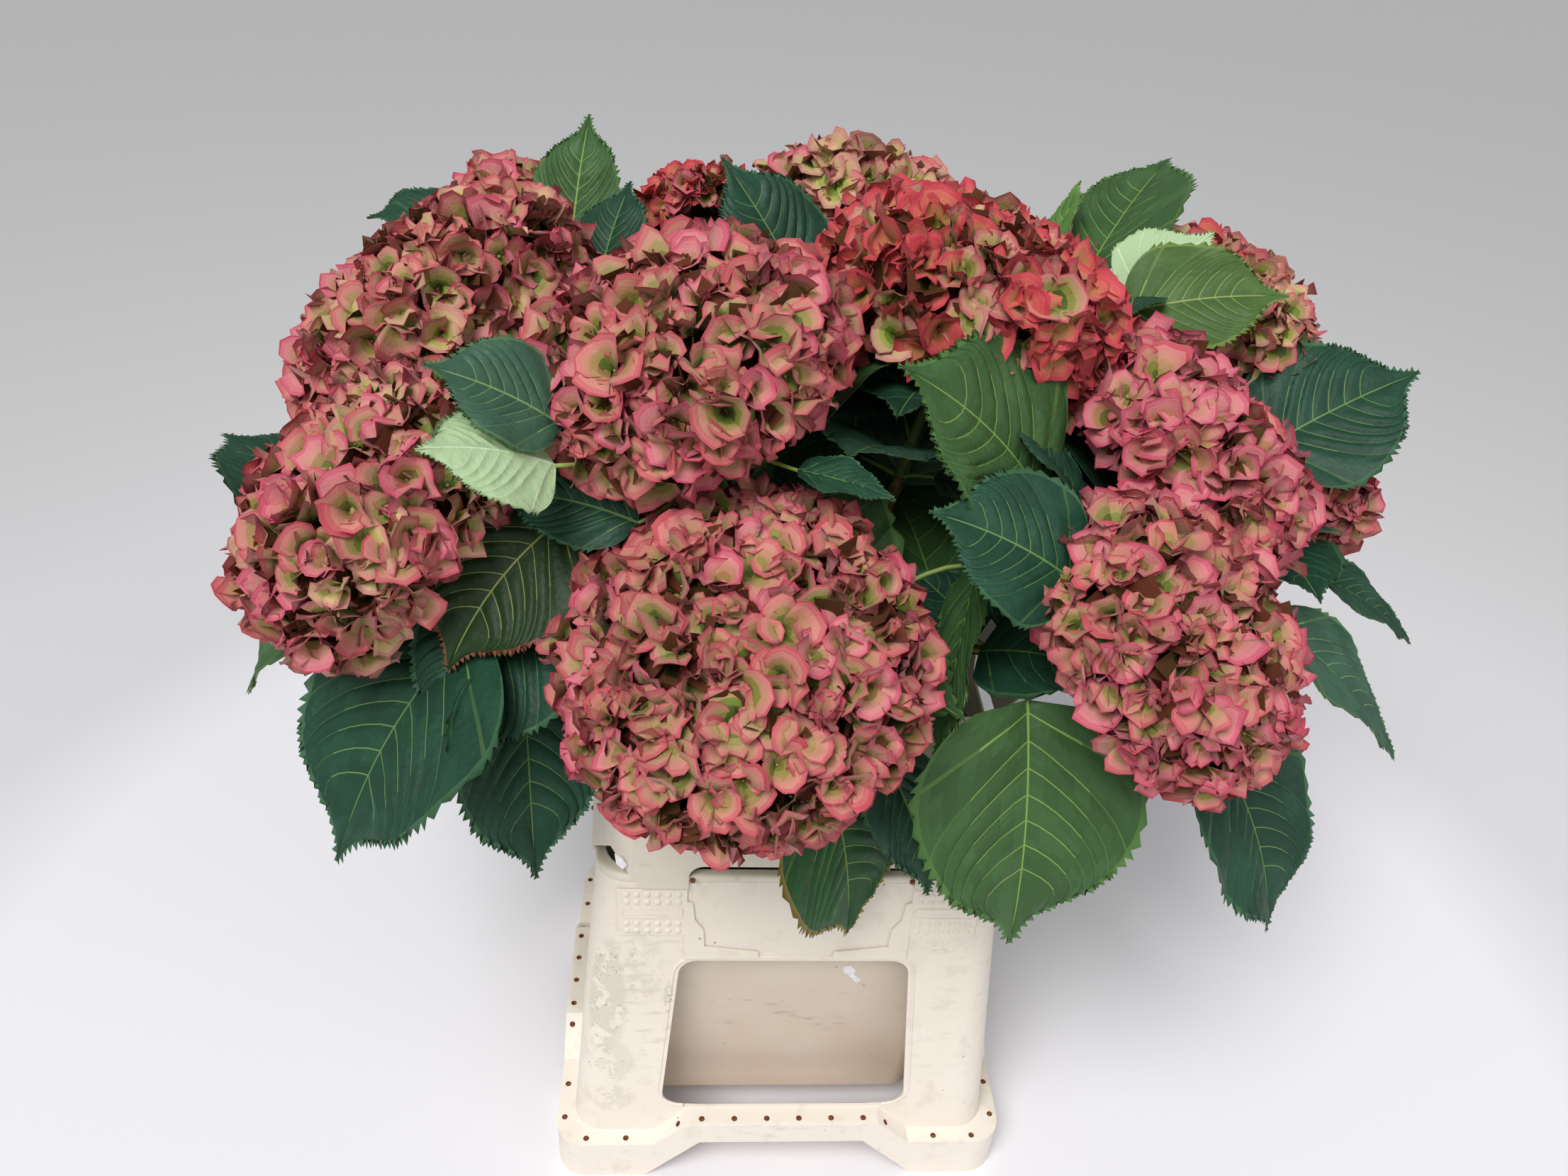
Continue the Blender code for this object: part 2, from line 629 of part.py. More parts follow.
def press_flat(core, bloom, others):
    """Cut a core flat where a neighbouring bloom presses on it."""
    for other in others:
        offset = other["middle"] - bloom["middle"]
        direction = offset.normalized()
        mine = dome_support(bloom, direction, CORE_SHARE)
        theirs = dome_support(other, -direction, CORE_SHARE)
        overlap = mine + theirs + 4 * GAP - offset.length
        if overlap <= 0:
            continue
        shell = bmesh.new()
        shell.from_mesh(core.data)
        plane = bloom["middle"] + direction * (mine - overlap / 2)
        bmesh.ops.bisect_plane(shell, geom=shell.verts[:] + shell.edges[:] + shell.faces[:], dist=1e-6,
                               plane_co=plane, plane_no=direction, clear_outer=True)
        rim = [edge for edge in shell.edges if edge.is_boundary]
        if rim:
            bmesh.ops.contextual_create(shell, geom=rim)
        bmesh.ops.recalc_face_normals(shell, faces=shell.faces)
        shell.to_mesh(core.data)
        shell.free()


def world_tree(points, faces, margin=2 * GAP):
    return BVHTree.FromPolygons([tuple(p) for p in points], faces, epsilon=margin)


def object_tree(made, margin=2 * GAP):
    evaluated = made.evaluated_get(bpy.context.evaluated_depsgraph_get())
    mesh = evaluated.to_mesh()
    tree = BVHTree.FromPolygons([v.co.copy() for v in mesh.vertices],
                                [tuple(p.vertices) for p in mesh.polygons], epsilon=margin)
    evaluated.to_mesh_clear()
    return tree


def touches(tree, trees):
    return any(tree.overlap(other) for other in trees)


def floret(bloom, polar, around, size, twist):
    """A four-lobed cup whose foot is sunk in the core."""
    normal = dome_normal(bloom, polar, around)
    seat = dome_point(bloom, polar, around, CORE_SHARE)
    top = dome_point(bloom, polar, around, 1.0) - normal * size * CUP_SINK
    side = normal.orthogonal().normalized()
    across = normal.cross(side)
    ring = []
    for k in range(8):
        angle = twist + math.pi * k / 4
        reach, lift = NOTCH if k % 2 else LOBE
        out = side * math.cos(angle) + across * math.sin(angle)
        ring.append(top + (normal * lift + out * reach) * size)
    points = ring + [top - normal * size * CUP_DEPTH, seat - normal * size * FOOT_SINK]
    faces = []
    for k in range(8):
        faces.append((8, k, (k + 1) % 8))
        faces.append((9, (k + 1) % 8, k))
    return points, faces


def fuse(body, parts):
    """One Boolean union of a body with closed parts, applied."""
    group = bpy.data.collections.new(body.name + "_parts")
    bpy.context.scene.collection.children.link(group)
    for index, (points, faces) in enumerate(parts):
        piece = mesh_object(f"{body.name}_part_{index}", points, faces)
        bpy.context.scene.collection.objects.unlink(piece)
        group.objects.link(piece)
    for solver in ("EXACT", "MANIFOLD"):
        step = body.modifiers.new("Fuse", "BOOLEAN")
        step.operation = "UNION"
        step.operand_type = "COLLECTION"
        step.collection = group
        step.solver = solver
        evaluated = body.evaluated_get(bpy.context.evaluated_depsgraph_get())
        fused = bpy.data.meshes.new_from_object(evaluated)
        body.modifiers.remove(step)
        if is_closed(fused):
            body.data = fused
            break
    for piece in list(group.objects):
        bpy.data.objects.remove(piece, do_unlink=True)
    bpy.data.collections.remove(group)
    body.data.name = body.name
    drop_scraps(body)


def is_closed(mesh):
    shell = bmesh.new()
    shell.from_mesh(mesh)
    closed = len(shell.faces) > 0 and all(len(edge.link_faces) == 2 for edge in shell.edges)
    shell.free()
    return closed


def drop_scraps(body):
    """Keep only the largest connected shell of a solid."""
    shell = bmesh.new()
    shell.from_mesh(body.data)
    left = set(shell.faces)
    groups = []
    while left:
        group = set()
        edge_of = [left.pop()]
        while edge_of:
            face = edge_of.pop()
            group.add(face)
            for edge in face.edges:
                for other in edge.link_faces:
                    if other in left:
                        left.remove(other)
                        edge_of.append(other)
        groups.append(group)
    groups.sort(key=len)
    scraps = [face for group in groups[:-1] for face in group]
    if scraps:
        bmesh.ops.delete(shell, geom=scraps, context="FACES")
        shell.to_mesh(body.data)
    shell.free()


def bloom_cores(plan, finish):
    cores = {name: bloom_core(name, bloom, finish) for name, bloom in plan.items()}
    for name, core in cores.items():
        press_flat(core, plan[name], [other for key, other in plan.items() if key != name])
    return cores


def add_florets(cores, plan, fixed):
    """Florets and a stalk fused to each core, where neither blooms nor leaves are in the way."""
    trees = {name: object_tree(core) for name, core in cores.items()}
    chance = random.Random(11)
    for name, bloom in plan.items():
        others = [tree for key, tree in trees.items() if key != name] + fixed
        count = round(FLORETS_LARGE * (bloom["radius"] / (100 * MM)) ** FLORET_GROWTH + FLORETS_LEAST)
        parts = []
        lowest = math.cos(FLORET_LIMIT)
        for k in range(count):
            polar = math.acos(1 - (1 - lowest) * (k + 0.5) / count)
            size = bloom["radius"] * FLORET_SHARE * chance.uniform(0.88, 1.08)
            cup = floret(bloom, polar, k * GOLDEN_ANGLE, size, chance.uniform(0, math.pi / 2))
            if not touches(world_tree(*cup), others):
                parts.append(cup)
        parts.append(bloom["peduncle"])
        fuse(cores[name], parts)
        trees[name] = object_tree(cores[name])


def leaf_width(share):
    """Half width of an ovate leaf with a drawn-out tip, as a share of its greatest."""
    body = math.sin(math.pi * min(1.0, share) ** LEAF_BALANCE)
    return max(0.0, body) ** LEAF_FULLNESS * (1 - LEAF_TIP_TAPER * share ** 5)


def leaf_frame(azimuth, rise, roll):
    heading = Vector((math.cos(azimuth), math.sin(azimuth), 0.0))
    side = Vector((-heading.y, heading.x, 0.0))
    forward = heading * math.cos(rise) + Vector((0, 0, math.sin(rise)))
    up = Vector((0, 0, math.cos(rise))) - heading * math.sin(rise)
    return forward, side * math.cos(roll) + up * math.sin(roll), up * math.cos(roll) - side * math.sin(roll)


def leaf(node, foot, azimuth, rise, length, width, droop, roll):
    """A thick blade on a stalk that is sunk in its stem at the node."""
    rows = []
    stalk = (foot - node).normalized()
    stalk_side = stalk.cross(Vector((0, 0, 1))).normalized()
    stalk_up = stalk_side.cross(stalk)
    rows.append((node - stalk * LEAF_STALK_SINK, -stalk_side, stalk_up, *LEAF_STALK))
    place = foot.copy()
    for i, share in enumerate(LEAF_STATIONS):
        if i:
            middle = (share + LEAF_STATIONS[i - 1]) / 2
            forward, _, _ = leaf_frame(azimuth, rise + droop * (0.5 - middle), roll)
            place += forward * length * (share - LEAF_STATIONS[i - 1])
        _, side, up = leaf_frame(azimuth, rise + droop * (0.5 - share), roll)
        half = max(LEAF_LEAST_HALF, width * length / 2 * leaf_width(share))
        rows.append((place.copy(), side, up, half, LEAF_EDGE if 0.0 < share < 1.0 else LEAF_END))
    rings = []
    for centre, side, up, half, edge in rows:
        rise_up = up * (half * LEAF_FOLD)
        rib = up * LEAF_RIB / 2
        lip = up * edge / 2
        rings.append([centre + side * half + rise_up + lip, centre + rib, centre - side * half + rise_up + lip,
                      centre - side * half + rise_up - lip, centre - rib, centre + side * half + rise_up - lip])
    return loft(rings)


def nearest_on(route, point):
    best = None
    for a, b in zip(route, route[1:]):
        span = b - a
        share = min(NODE_SHARE[1], max(NODE_SHARE[0], (point - a).dot(span) / span.length_squared))
        there = a + span * share
        if best is None or (there - point).length < (best - point).length:
            best = there
    return best


def leaf_masses(stalks, plan, fixed):
    """Leaves fused to the leafy top of each stem, each mass keeping off the others."""
    trees = {name: object_tree(stalk) for name, stalk in stalks.items()}
    for name, stalk in stalks.items():
        others = [tree for key, tree in trees.items() if key != name] + fixed
        parts = []
        for row, (carrier, foot, azimuth, rise, length, width, droop, roll) in enumerate(LEAVES):
            if carrier != name:
                continue
            foot = Vector(foot) * MM
            node = nearest_on(plan[name]["leafy"], foot)
            blade = leaf(node, foot, math.radians(azimuth), math.radians(rise), length * MM, width,
                         math.radians(droop), math.radians(roll))
            buried = any(in_core(point, bloom) for point in blade[0] for bloom in plan.values())
            if buried or touches(world_tree(*blade), others):
                print("leaf row", row, "of", name, "finds no room")
            else:
                parts.append(blade)
        fuse(stalk, parts)
        trees[name] = object_tree(stalk)


def main():
    clear_scene()
    cream = material("cream_polypropylene", (0.83, 0.76, 0.62), 0.55)
    sheet = material("cream_plastic_sheet", (0.86, 0.82, 0.72), 0.45)
    bark = material("green_brown_stem", (0.28, 0.20, 0.08), 0.6)
    green = material("leaf_green", (0.03, 0.11, 0.05), 0.5)
    rose = material("sepal_rose", (0.62, 0.13, 0.14), 0.6)
    crate = [crate_frame(cream), crate_bucket(cream)] + collar(sheet)
    plan = stem_plan()
    stems, stalks = stem_limbs(plan, bark, green)
    cores = bloom_cores(plan, rose)
    fixed = [object_tree(made) for made in crate + stems]
    seats = [object_tree(core) for core in cores.values()]
    seats += [world_tree(*bloom["peduncle"]) for bloom in plan.values()]
    leaf_masses(stalks, plan, fixed + seats)
    add_florets(cores, plan, fixed + [object_tree(stalk) for stalk in stalks.values()])


main()
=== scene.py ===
"""Cut mophead hydrangeas standing in a stackable flower crate with a slotted collar."""
import json
import math
import random
from collections import namedtuple

import bmesh
import bpy
import numpy as np
from mathutils import Matrix, Vector, noise
from mathutils.bvhtree import BVHTree

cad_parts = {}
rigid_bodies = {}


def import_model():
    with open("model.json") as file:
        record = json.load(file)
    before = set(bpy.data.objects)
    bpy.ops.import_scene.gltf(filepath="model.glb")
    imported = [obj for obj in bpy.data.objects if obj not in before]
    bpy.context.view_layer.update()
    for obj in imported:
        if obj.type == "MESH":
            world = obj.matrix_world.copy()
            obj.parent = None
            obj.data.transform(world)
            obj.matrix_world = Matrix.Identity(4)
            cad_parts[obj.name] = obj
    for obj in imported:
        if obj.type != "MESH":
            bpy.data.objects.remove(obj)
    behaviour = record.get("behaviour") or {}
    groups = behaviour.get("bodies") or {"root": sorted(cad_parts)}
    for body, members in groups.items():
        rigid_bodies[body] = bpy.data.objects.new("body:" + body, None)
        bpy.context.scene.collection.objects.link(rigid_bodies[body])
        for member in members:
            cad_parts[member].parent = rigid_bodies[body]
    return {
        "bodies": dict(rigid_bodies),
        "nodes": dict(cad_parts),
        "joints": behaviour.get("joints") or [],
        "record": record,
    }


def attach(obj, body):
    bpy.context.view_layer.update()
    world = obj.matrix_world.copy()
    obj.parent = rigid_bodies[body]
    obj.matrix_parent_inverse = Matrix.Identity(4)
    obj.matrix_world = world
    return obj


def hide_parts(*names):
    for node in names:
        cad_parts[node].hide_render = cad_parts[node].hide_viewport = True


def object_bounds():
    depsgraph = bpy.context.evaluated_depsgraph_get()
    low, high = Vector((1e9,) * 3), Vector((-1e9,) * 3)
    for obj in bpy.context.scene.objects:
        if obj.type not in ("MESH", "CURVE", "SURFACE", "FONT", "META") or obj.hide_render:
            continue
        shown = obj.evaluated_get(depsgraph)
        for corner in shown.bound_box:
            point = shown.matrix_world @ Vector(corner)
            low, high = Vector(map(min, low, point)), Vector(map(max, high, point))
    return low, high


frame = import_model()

CAD_BOX = [list(corner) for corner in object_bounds()]
MM = 0.001
GOLDEN_ANGLE = math.pi * (3.0 - math.sqrt(5.0))

# the crate's driving sizes, as its solids have them
BASE_HALF = (170 * MM, 141 * MM)
BASE_RADIUS = 22 * MM
CRATE_HEIGHT = 300 * MM
WALL = 2.5 * MM
LEDGE_LOW = 41.6 * MM
LEDGE_HIGH = 66.1 * MM
LEDGE_WIDTH = 12.5 * MM
ARCH_TOP = 43.6 * MM
FLANGE_HEIGHT = 6 * MM
RIM_INSET = 33 * MM
RIM_RADIUS = 23 * MM
FRONT_BENDS = {"arch_foot": 103 * MM, "ledge_foot": 97 * MM, "ledge_top": 72 * MM, "arch_top": 62 * MM}
SIDE_BENDS = {"arch_foot": 74 * MM, "ledge_foot": 68 * MM, "ledge_top": 43 * MM, "arch_top": 33 * MM}
WINDOW_FOOT = 67 * MM
WINDOW_TOP = 221 * MM
WINDOW_RADII = (17 * MM, 12 * MM)
FRONT_WINDOW_HALF = (92 * MM, 79.5 * MM)
SIDE_WINDOW_HALF = (63 * MM, 50.5 * MM)
BUCKET_FOOT = 22 * MM
COLLAR_FOOT = 290 * MM
COLLAR_TOP = 436 * MM
COLLAR_HALF = (140 * MM, 111 * MM)
COLLAR_WALL = 1.7 * MM
COLLAR_LEAN = 6.5 * MM
COLLAR_CHAMFER = 27 * MM
COLLAR_TAB_END = 7 * MM
COLLAR_CORNER_FOOT = (302 * MM, 316 * MM)
LOW_SLOT_TOP = 310.5 * MM
HAND_SLOT = (341 * MM, 368 * MM)
FRONT_SLOT_HALF = (75 * MM, 82 * MM)
SIDE_SLOT_HALF = (50 * MM, 55 * MM)
SLOT_RADIUS = 10 * MM

FRAME_TOP = CRATE_HEIGHT - FLANGE_HEIGHT - 0.3 * MM
# the bucket's half widths and heights from its foot up to the rim and down inside again, in mm
BUCKET_RISE = (((133.5, 104.5), 294), ((137.6, 108.6), 294), ((137.6, 108.6), 298.6), ((136.2, 107.2), 300),
               ((131, 102), 300), ((105.5, 81.5), 30.25), ((98.5, 74.5), 24.8))
# small holes in the ledge, by their distance from the middle of each side
HOLE_SIZE = 4.4 * MM
HOLE_DEPTH = 1.7 * MM
HOLE_INSET = 5.4 * MM
FRONT_HOLES = [place * MM for place in (12.1, 36.4, 60.7)]
FRONT_SLOPE_HOLE = 78.2 * MM
FRONT_LOW_HOLES = [place * MM for place in (117.3, 147)]
SIDE_HOLES = [place * MM for place in (11.2, 33.7)]
SIDE_SLOPE_HOLE = 49 * MM
SIDE_LOW_HOLES = [place * MM for place in (90, 118)]
# raised details of the front and back walls, in mm across and up
DOT_PLATE = (75.4, 122.0, 246.0, 288.0)
DOT_ROWS = (250.6, 257.4, 277.0, 283.6)
DOT_SIZE = 4.8 * MM
LABEL_POCKET = ((-77, 278), (-71.5, 276), (-70, 261), (-64, 252), (-63, 236), (-26, 231), (-25, 224.8),
                (-77, 223.6))
BEAD_AWAY = 3.6 * MM
NUB_FRONT = (72.5 * MM, 112.5 * MM)
NUB_SIDE = (141.5 * MM, 47.5 * MM)

# the wall of the outer frame leans in from its ledge to its rim
WALL_SLOPE = (RIM_INSET - LEDGE_WIDTH) / (CRATE_HEIGHT - LEDGE_LOW)
WALL_TILT = math.atan(WALL_SLOPE)

# cut stems, as their solids run
STEM_RADIUS = (5.0 * MM, 3.4 * MM)
LEAFY_LENGTH = 82 * MM
SHORT_LEAFY = {"01": 50 * MM}
PEDUNCLE_SHARE = 0.30
OPENING_HALF = (108 * MM, 80 * MM)
OPENING_REACH = (250 * MM, 200 * MM)
FOOT_HALF = (80 * MM, 56 * MM)
FOOT_SPREAD = 0.62
STEM_SPACING = 17 * MM
APPROACH = 52 * MM
GAP = 0.3 * MM
LEAN_REACH = 260 * MM
DOME_TOP = 0.68
DOME_FOOT = 0.24
CORE_SHARE = 0.80

# blooms: middle of the dome and its radius in mm, then the mix of its sepal colours
BLOOMS = {
    "01": ((-48, -137, 500), 106, {"olive": 4, "salmon": 4, "rose": 2}),
    "02": ((-86, -14, 617), 100, {"olive": 3, "salmon": 4, "rose": 3}),
    "03": ((-262, -42, 532), 86, {"olive": 3, "salmon": 3, "rose": 2, "lime": 2}),
    "04": ((-247, 118, 583), 95, {"olive": 3, "salmon": 5, "rose": 2, "lime": 2}),
    "05": ((196, -106, 499), 93, {"olive": 2, "salmon": 4, "rose": 4}),
    "06": ((240, 36, 546), 90, {"olive": 1, "salmon": 3, "rose": 6}),
    "07": ((96, 81, 627), 97, {"olive": 2, "red": 8, "lime": 1}),
    "08": ((34, 243, 615), 84, {"lime": 7, "salmon": 2, "rose": 1}),
    "09": ((-82, 258, 620), 64, {"red": 6, "rose": 3, "olive": 1}),
    "10": ((-232, 278, 600), 74, {"lime": 4, "salmon": 4, "rose": 2}),
    "11": ((302, 181, 570), 87, {"red": 2, "olive": 3, "salmon": 2, "lime": 5}),
    "12": ((372, 100, 490), 54, {"rose": 5, "salmon": 3}),
    "13": ((-140, 285, 480), 84, {"olive": 3, "salmon": 4, "rose": 2, "lime": 1}),
    "14": ((135, 278, 492), 84, {"olive": 2, "salmon": 3, "rose": 4, "lime": 1}),
}

# leaves: carrying stem, foot of the blade in mm, azimuth, rise, length, width share, droop and
# roll in degrees, and the kind of leaf
LEAVES = (
    ("03", (-205, -78, 478), -138, -50, 165, 0.86, 40, 0, "deep"),
    ("03", (-176, -86, 462), -82, -60, 135, 0.74, 30, -35, "deep"),
    ("03", (-292, -10, 466), -172, -50, 120, 0.72, 35, 0, "mid"),
    ("03", (-160, -70, 486), -135, -38, 110, 0.84, 50, -20, "deep"),
    ("03", (-312, 42, 460), 140, 14, 130, 0.66, 40, 10, "deep"),
    ("05", (120, -117, 462), -84, -72, 165, 0.77, 35, 0, "mid"),
    ("05", (243, -112, 428), -48, -58, 135, 0.80, 40, 0, "deep"),
    ("06", (312, -18, 450), -22, -40, 135, 0.62, 30, 0, "dusty"),
    ("12", (366, 40, 450), -14, -30, 90, 0.66, 30, 0, "deep"),
    ("11", (312, 74, 530), 12, 26, 122, 0.82, 15, 30, "deep"),
    ("11", (202, 188, 610), 52, 24, 140, 0.70, 25, -20, "mid"),
    ("11", (168, 190, 590), 60, 42, 100, 0.52, 20, -50, "fresh"),
    ("11", (212, 106, 624), 34, 26, 78, 0.84, 20, 205, "fresh"),
    ("11", (212, 112, 618), -110, 10, 60, 0.62, 60, 0, "deep"),
    ("11", (204, 96, 618), -4, 10, 105, 0.70, 20, 35, "olive"),
    ("06", (132, -34, 548), -170, 42, 140, 0.80, 30, -44, "mid"),
    ("06", (136, -104, 538), 176, 24, 96, 0.84, 25, -38, "deep"),
    ("06", (158, -30, 545), 168, 42, 85, 0.62, 20, 0, "deep"),
    ("07", (-8, 106, 614), 146, 48, 104, 0.70, 15, -20, "deep"),
    ("10", (-226, 190, 622), -164, 8, 80, 0.78, 30, -10, "deep"),
    ("10", (-232, 208, 542), 108, 44, 64, 0.62, 20, 10, "mid"),
    ("09", (-172, 214, 598), 80, 52, 105, 0.56, 20, 0, "mid"),
    ("09", (-145, 216, 578), 98, 8, 105, 0.56, 10, 180, "fresh"),
    ("04", (-150, 168, 586), 70, 44, 90, 0.66, 30, -10, "deep"),
    ("09", (-96, 220, 566), 116, 14, 68, 0.58, 20, -30, "bronze"),
    ("02", (-148, -76, 610), -172, 28, 78, 0.74, 25, -30, "dusty"),
    ("02", (-150, -94, 596), -146, 22, 80, 0.76, 25, 155, "fresh"),
    ("02", (-148, -58, 545), -142, -42, 116, 0.76, 45, -30, "bronze"),
    ("02", (-108, -84, 556), 168, 4, 85, 0.52, 30, -50, "deep"),
    ("01", (2, -130, 420), -42, -76, 130, 0.88, 30, 0, "edged"),
    ("01", (34, -122, 428), -28, -66, 115, 0.42, 30, 50, "deep"),
    ("01", (90, -66, 520), -108, -54, 125, 0.40, 30, 60, "mid"),
    ("02", (-22, -84, 592), -18, -8, 55, 0.62, 20, 0, "deep"),
    ("08", (66, 290, 462), 74, -58, 130, 0.72, 40, 0, "deep"),
    ("08", (-4, 300, 508), 112, -36, 120, 0.70, 40, 0, "mid"),
    ("13", (-150, 306, 362), 104, -56, 140, 0.80, 40, 0, "deep"),
    ("13", (-196, 265, 392), 160, -50, 135, 0.76, 40, 0, "mid"),
    ("14", (150, 316, 414), 70, -56, 150, 0.80, 40, 0, "deep"),
    ("14", (195, 262, 428), 14, -48, 135, 0.76, 40, 0, "dusty"),
    ("10", (-271, 259, 510), 160, -38, 125, 0.72, 40, 0, "deep"),
    ("11", (322, 210, 460), 32, -44, 140, 0.76, 40, 0, "deep"),
    ("04", (-282, 150, 474), 150, -48, 145, 0.78, 40, 0, "deep"),
    ("12", (362, 130, 440), 40, -52, 115, 0.74, 40, 0, "mid"),
    ("02", (-62, 66, 545), 84, 22, 110, 0.74, 30, 0, "deep"),
    ("04", (-176, 86, 545), -24, 14, 110, 0.76, 30, 0, "deep"),
    ("08", (24, 168, 560), -112, -4, 110, 0.72, 30, 0, "deep"),
    ("11", (222, 150, 560), 172, 22, 95, 0.72, 30, 0, "deep"),
    ("09", (-82, 196, 552), -70, -6, 110, 0.74, 30, 0, "deep"),
)
Leaf = namedtuple("Leaf", "stem foot azimuth rise length width droop roll kind")
LEAF_FOLD = 0.16
LEAF_STRETCH = 1.15

# smaller leaves that fill the bunch between the flower heads, by a seeded rule
INNER_NODES = (0.02, 0.18, 0.34, 0.50, 0.64, 0.78, 0.92)
INNER_LENGTH = (92 * MM, 138 * MM)
INNER_STALK = (16 * MM, 30 * MM)
INNER_TRIES = 24
SETTLE_TRIES = 7

# sepal colours from the heart of a floret to its rim, drawn as this many bands; the heart stops are the sepals' green
# centre, darkened as painted shade deep in the cup
SEPAL_BANDS = 12
SEPALS = {
    "olive": ("#3C5216", "#74822E", "#A28C58", "#C28676", "#B23C4E"),
    "salmon": ("#48601A", "#8C863A", "#B48664", "#CC8078", "#B83A4E"),
    "rose": ("#5C6A24", "#A68252", "#CA877F", "#D07880", "#BA3858"),
    "red": ("#5C6A1C", "#A88240", "#C8745A", "#CA5452", "#BA3046"),
    "lime": ("#4E701C", "#8EA23A", "#B8B066", "#CCA884", "#C06C70"),
    # painted shade: dark colours of the second layer of florets deep in the head
    "shade": ("#222A0C", "#383A16", "#543E24", "#643428", "#66282A"),
}
FLORET_SIZES = {"02": 1.08, "03": 1.05, "06": 1.10, "07": 1.05, "08": 1.05, "09": 0.86, "12": 0.9}
# how far the heads' skin and their underside swell past the solids' own domes
HEAD_SWELL = {"03": 1.12, "04": 1.20, "05": 1.03, "06": 1.12, "07": 1.07, "09": 0.76, "10": 0.74}
HEAD_TOPS = {"04": 0.50, "06": 0.50, "07": 0.54, "09": 0.48, "10": 0.54}
HEAD_FEET = {"03": 0.62, "04": 0.80, "05": 0.36, "06": 0.56, "07": 0.85}
HEAD_TOP = 0.62
HEAD_FOOT = 0.42
FLORET_SPACING = 13.9 * MM
FLORET_REACH = 20.5 * MM
FLORET_DEPTH = 14.5 * MM
FLORET_LIMIT = math.radians(124)
# shares of a sepal's length, and of its spread to either side
SEPAL_GRID = (np.array((0.0, 0.26, 0.50, 0.70, 0.85, 0.95, 1.0)),
              np.array((-1.0, -0.80, -0.50, -0.17, 0.17, 0.50, 0.80, 1.0)))
# a second layer of simpler florets in painted shade colours closes the view into the head
SHADED_SPACING = 19 * MM
SHADED_DEPTH = 24 * MM
SHADED_GRID = (np.array((0.0, 0.5, 1.0)), np.array((-1.0, -0.4, 0.4, 1.0)))

# leaf colours: three greens of the blade, vein, margin, underside and its veins
LEAF_KINDS = {
    "deep": ("#1F4431", "#1D402E", "#234935", "#66864A", "#3C6244", "#86A178", "#A9BF92"),
    "mid": ("#3B5C33", "#38582F", "#406237", "#7E9E4C", "#4E733C", "#92AE7C", "#B5C898"),
    "dusty": ("#3A5B48", "#375744", "#3F614C", "#7A965E", "#52764E", "#95AE85", "#B5C6A0"),
    "fresh": ("#5A8440", "#567F3D", "#608A45", "#A3BE6C", "#7C9E50", "#AEC89A", "#CCDDB6"),
    "olive": ("#4A6633", "#466130", "#4F6C37", "#8C9E58", "#6C8240", "#9DB480", "#BCCB9C"),
    "bronze": ("#233A1D", "#22371B", "#283F22", "#87944C", "#7C4C38", "#8A7C5A", "#ADAB80"),
    "edged": ("#235027", "#214B25", "#27562A", "#7A9A42", "#86783A", "#90AF76", "#B8CB98"),
}
LEAF_PARTS = ("blade", "blade_dark", "blade_light", "vein", "margin", "underside", "underside_vein",
              "vein_end")
VEIN_FIRST = 0.045
VEIN_LAST = 0.64
VEIN_HALF = 0.0026
VEIN_SWEEP = 0.58
VEIN_RISE = 0.07
LEAF_THICK = 0.6 * MM

# oval patches of the crate's wear in mm, middle and half size, then strength or tint
LABEL_GLUE = (((-133, -117, 190), (20, 14, 72), 1.0), ((-126, -122, 118), (17, 14, 26), 0.55),
              ((-104, -115, 216), (15, 12, 44), 0.5), ((-128, -125, 78), (20, 12, 16), 0.5),
              ((-87, -117, 184), (4, 12, 20), 1.0), ((100, -113, 234), (13, 10, 8), 0.35))
CRATE_SCUFFS = (((-112, -118, 200), (44, 16, 110), "#CFC8B4"), ((110, -118, 190), (40, 16, 110), "#DCD3C4"),
                ((0, -141, 58), (60, 6, 10), "#CFC6B6"), ((-140, -141, 12), (24, 6, 12), "#C9C1B2"))
BUCKET_SCUFFS = (((0, -92, 122), (52, 12, 22), "#A9A08C"), ((48, -94, 163), (10, 10, 14), "#B0A68E"),
                 ((-30, -93, 148), (30, 10, 8), "#9A9078"), ((-45, -118, 300), (22, 12, 8), "#8F8264"))
COLLAR_SCUFFS = (((-118, -108, 300), (26, 12, 22), "#BDB19C"), ((108, -108, 308), (26, 12, 20), "#B9AD9A"))

# camera of the photograph
CAMERA_PLACE = Vector((-76.9, -661.2, 916.3)) * MM
CAMERA_PITCH = 0.606
CAMERA_YAW = 0.09
CAMERA_ROLL = 0.076
CAMERA_LENS = 28.16

# the floor's radius, and where its painted light falloff is lightest and darkest
FLOOR_RADIUS = 9.0
FLOOR_NEAR = 0.68
FLOOR_FAR = 5.6
FLOOR_PAINTED_FALLOFF = ("#BEBEBE", "#C5C5C5", "#CDCDCD", "#D8D7D9", "#D9D8DA", "#ECEAEE")


def linear(colour):
    """A hex colour as linear red, green, blue and alpha."""
    channels = [int(colour[i:i + 2], 16) / 255 for i in (1, 3, 5)]
    return (*[c / 12.92 if c <= 0.04045 else ((c + 0.055) / 1.055) ** 2.4 for c in channels], 1.0)


def add_node(tree, kind, inputs=None, **settings):
    """Add a node with its settings; inputs are socket values or the sockets that feed them."""
    made = tree.nodes.new("ShaderNode" + kind)
    for name, value in settings.items():
        setattr(made, name, value)
    for key, value in (inputs or {}).items():
        if isinstance(value, bpy.types.NodeSocket):
            tree.links.new(value, made.inputs[key])
        else:
            made.inputs[key].default_value = value
    return made


def new_material(name):
    """An empty material with its shader: the tree and the shader."""
    made = bpy.data.materials.new(name)
    made.use_nodes = True
    return made, made.node_tree, made.node_tree.nodes["Principled BSDF"]


def between(first, second, share):
    """The colour that lies between two hex colours."""
    return tuple(a + (b - a) * share for a, b in zip(linear(first), linear(second)))


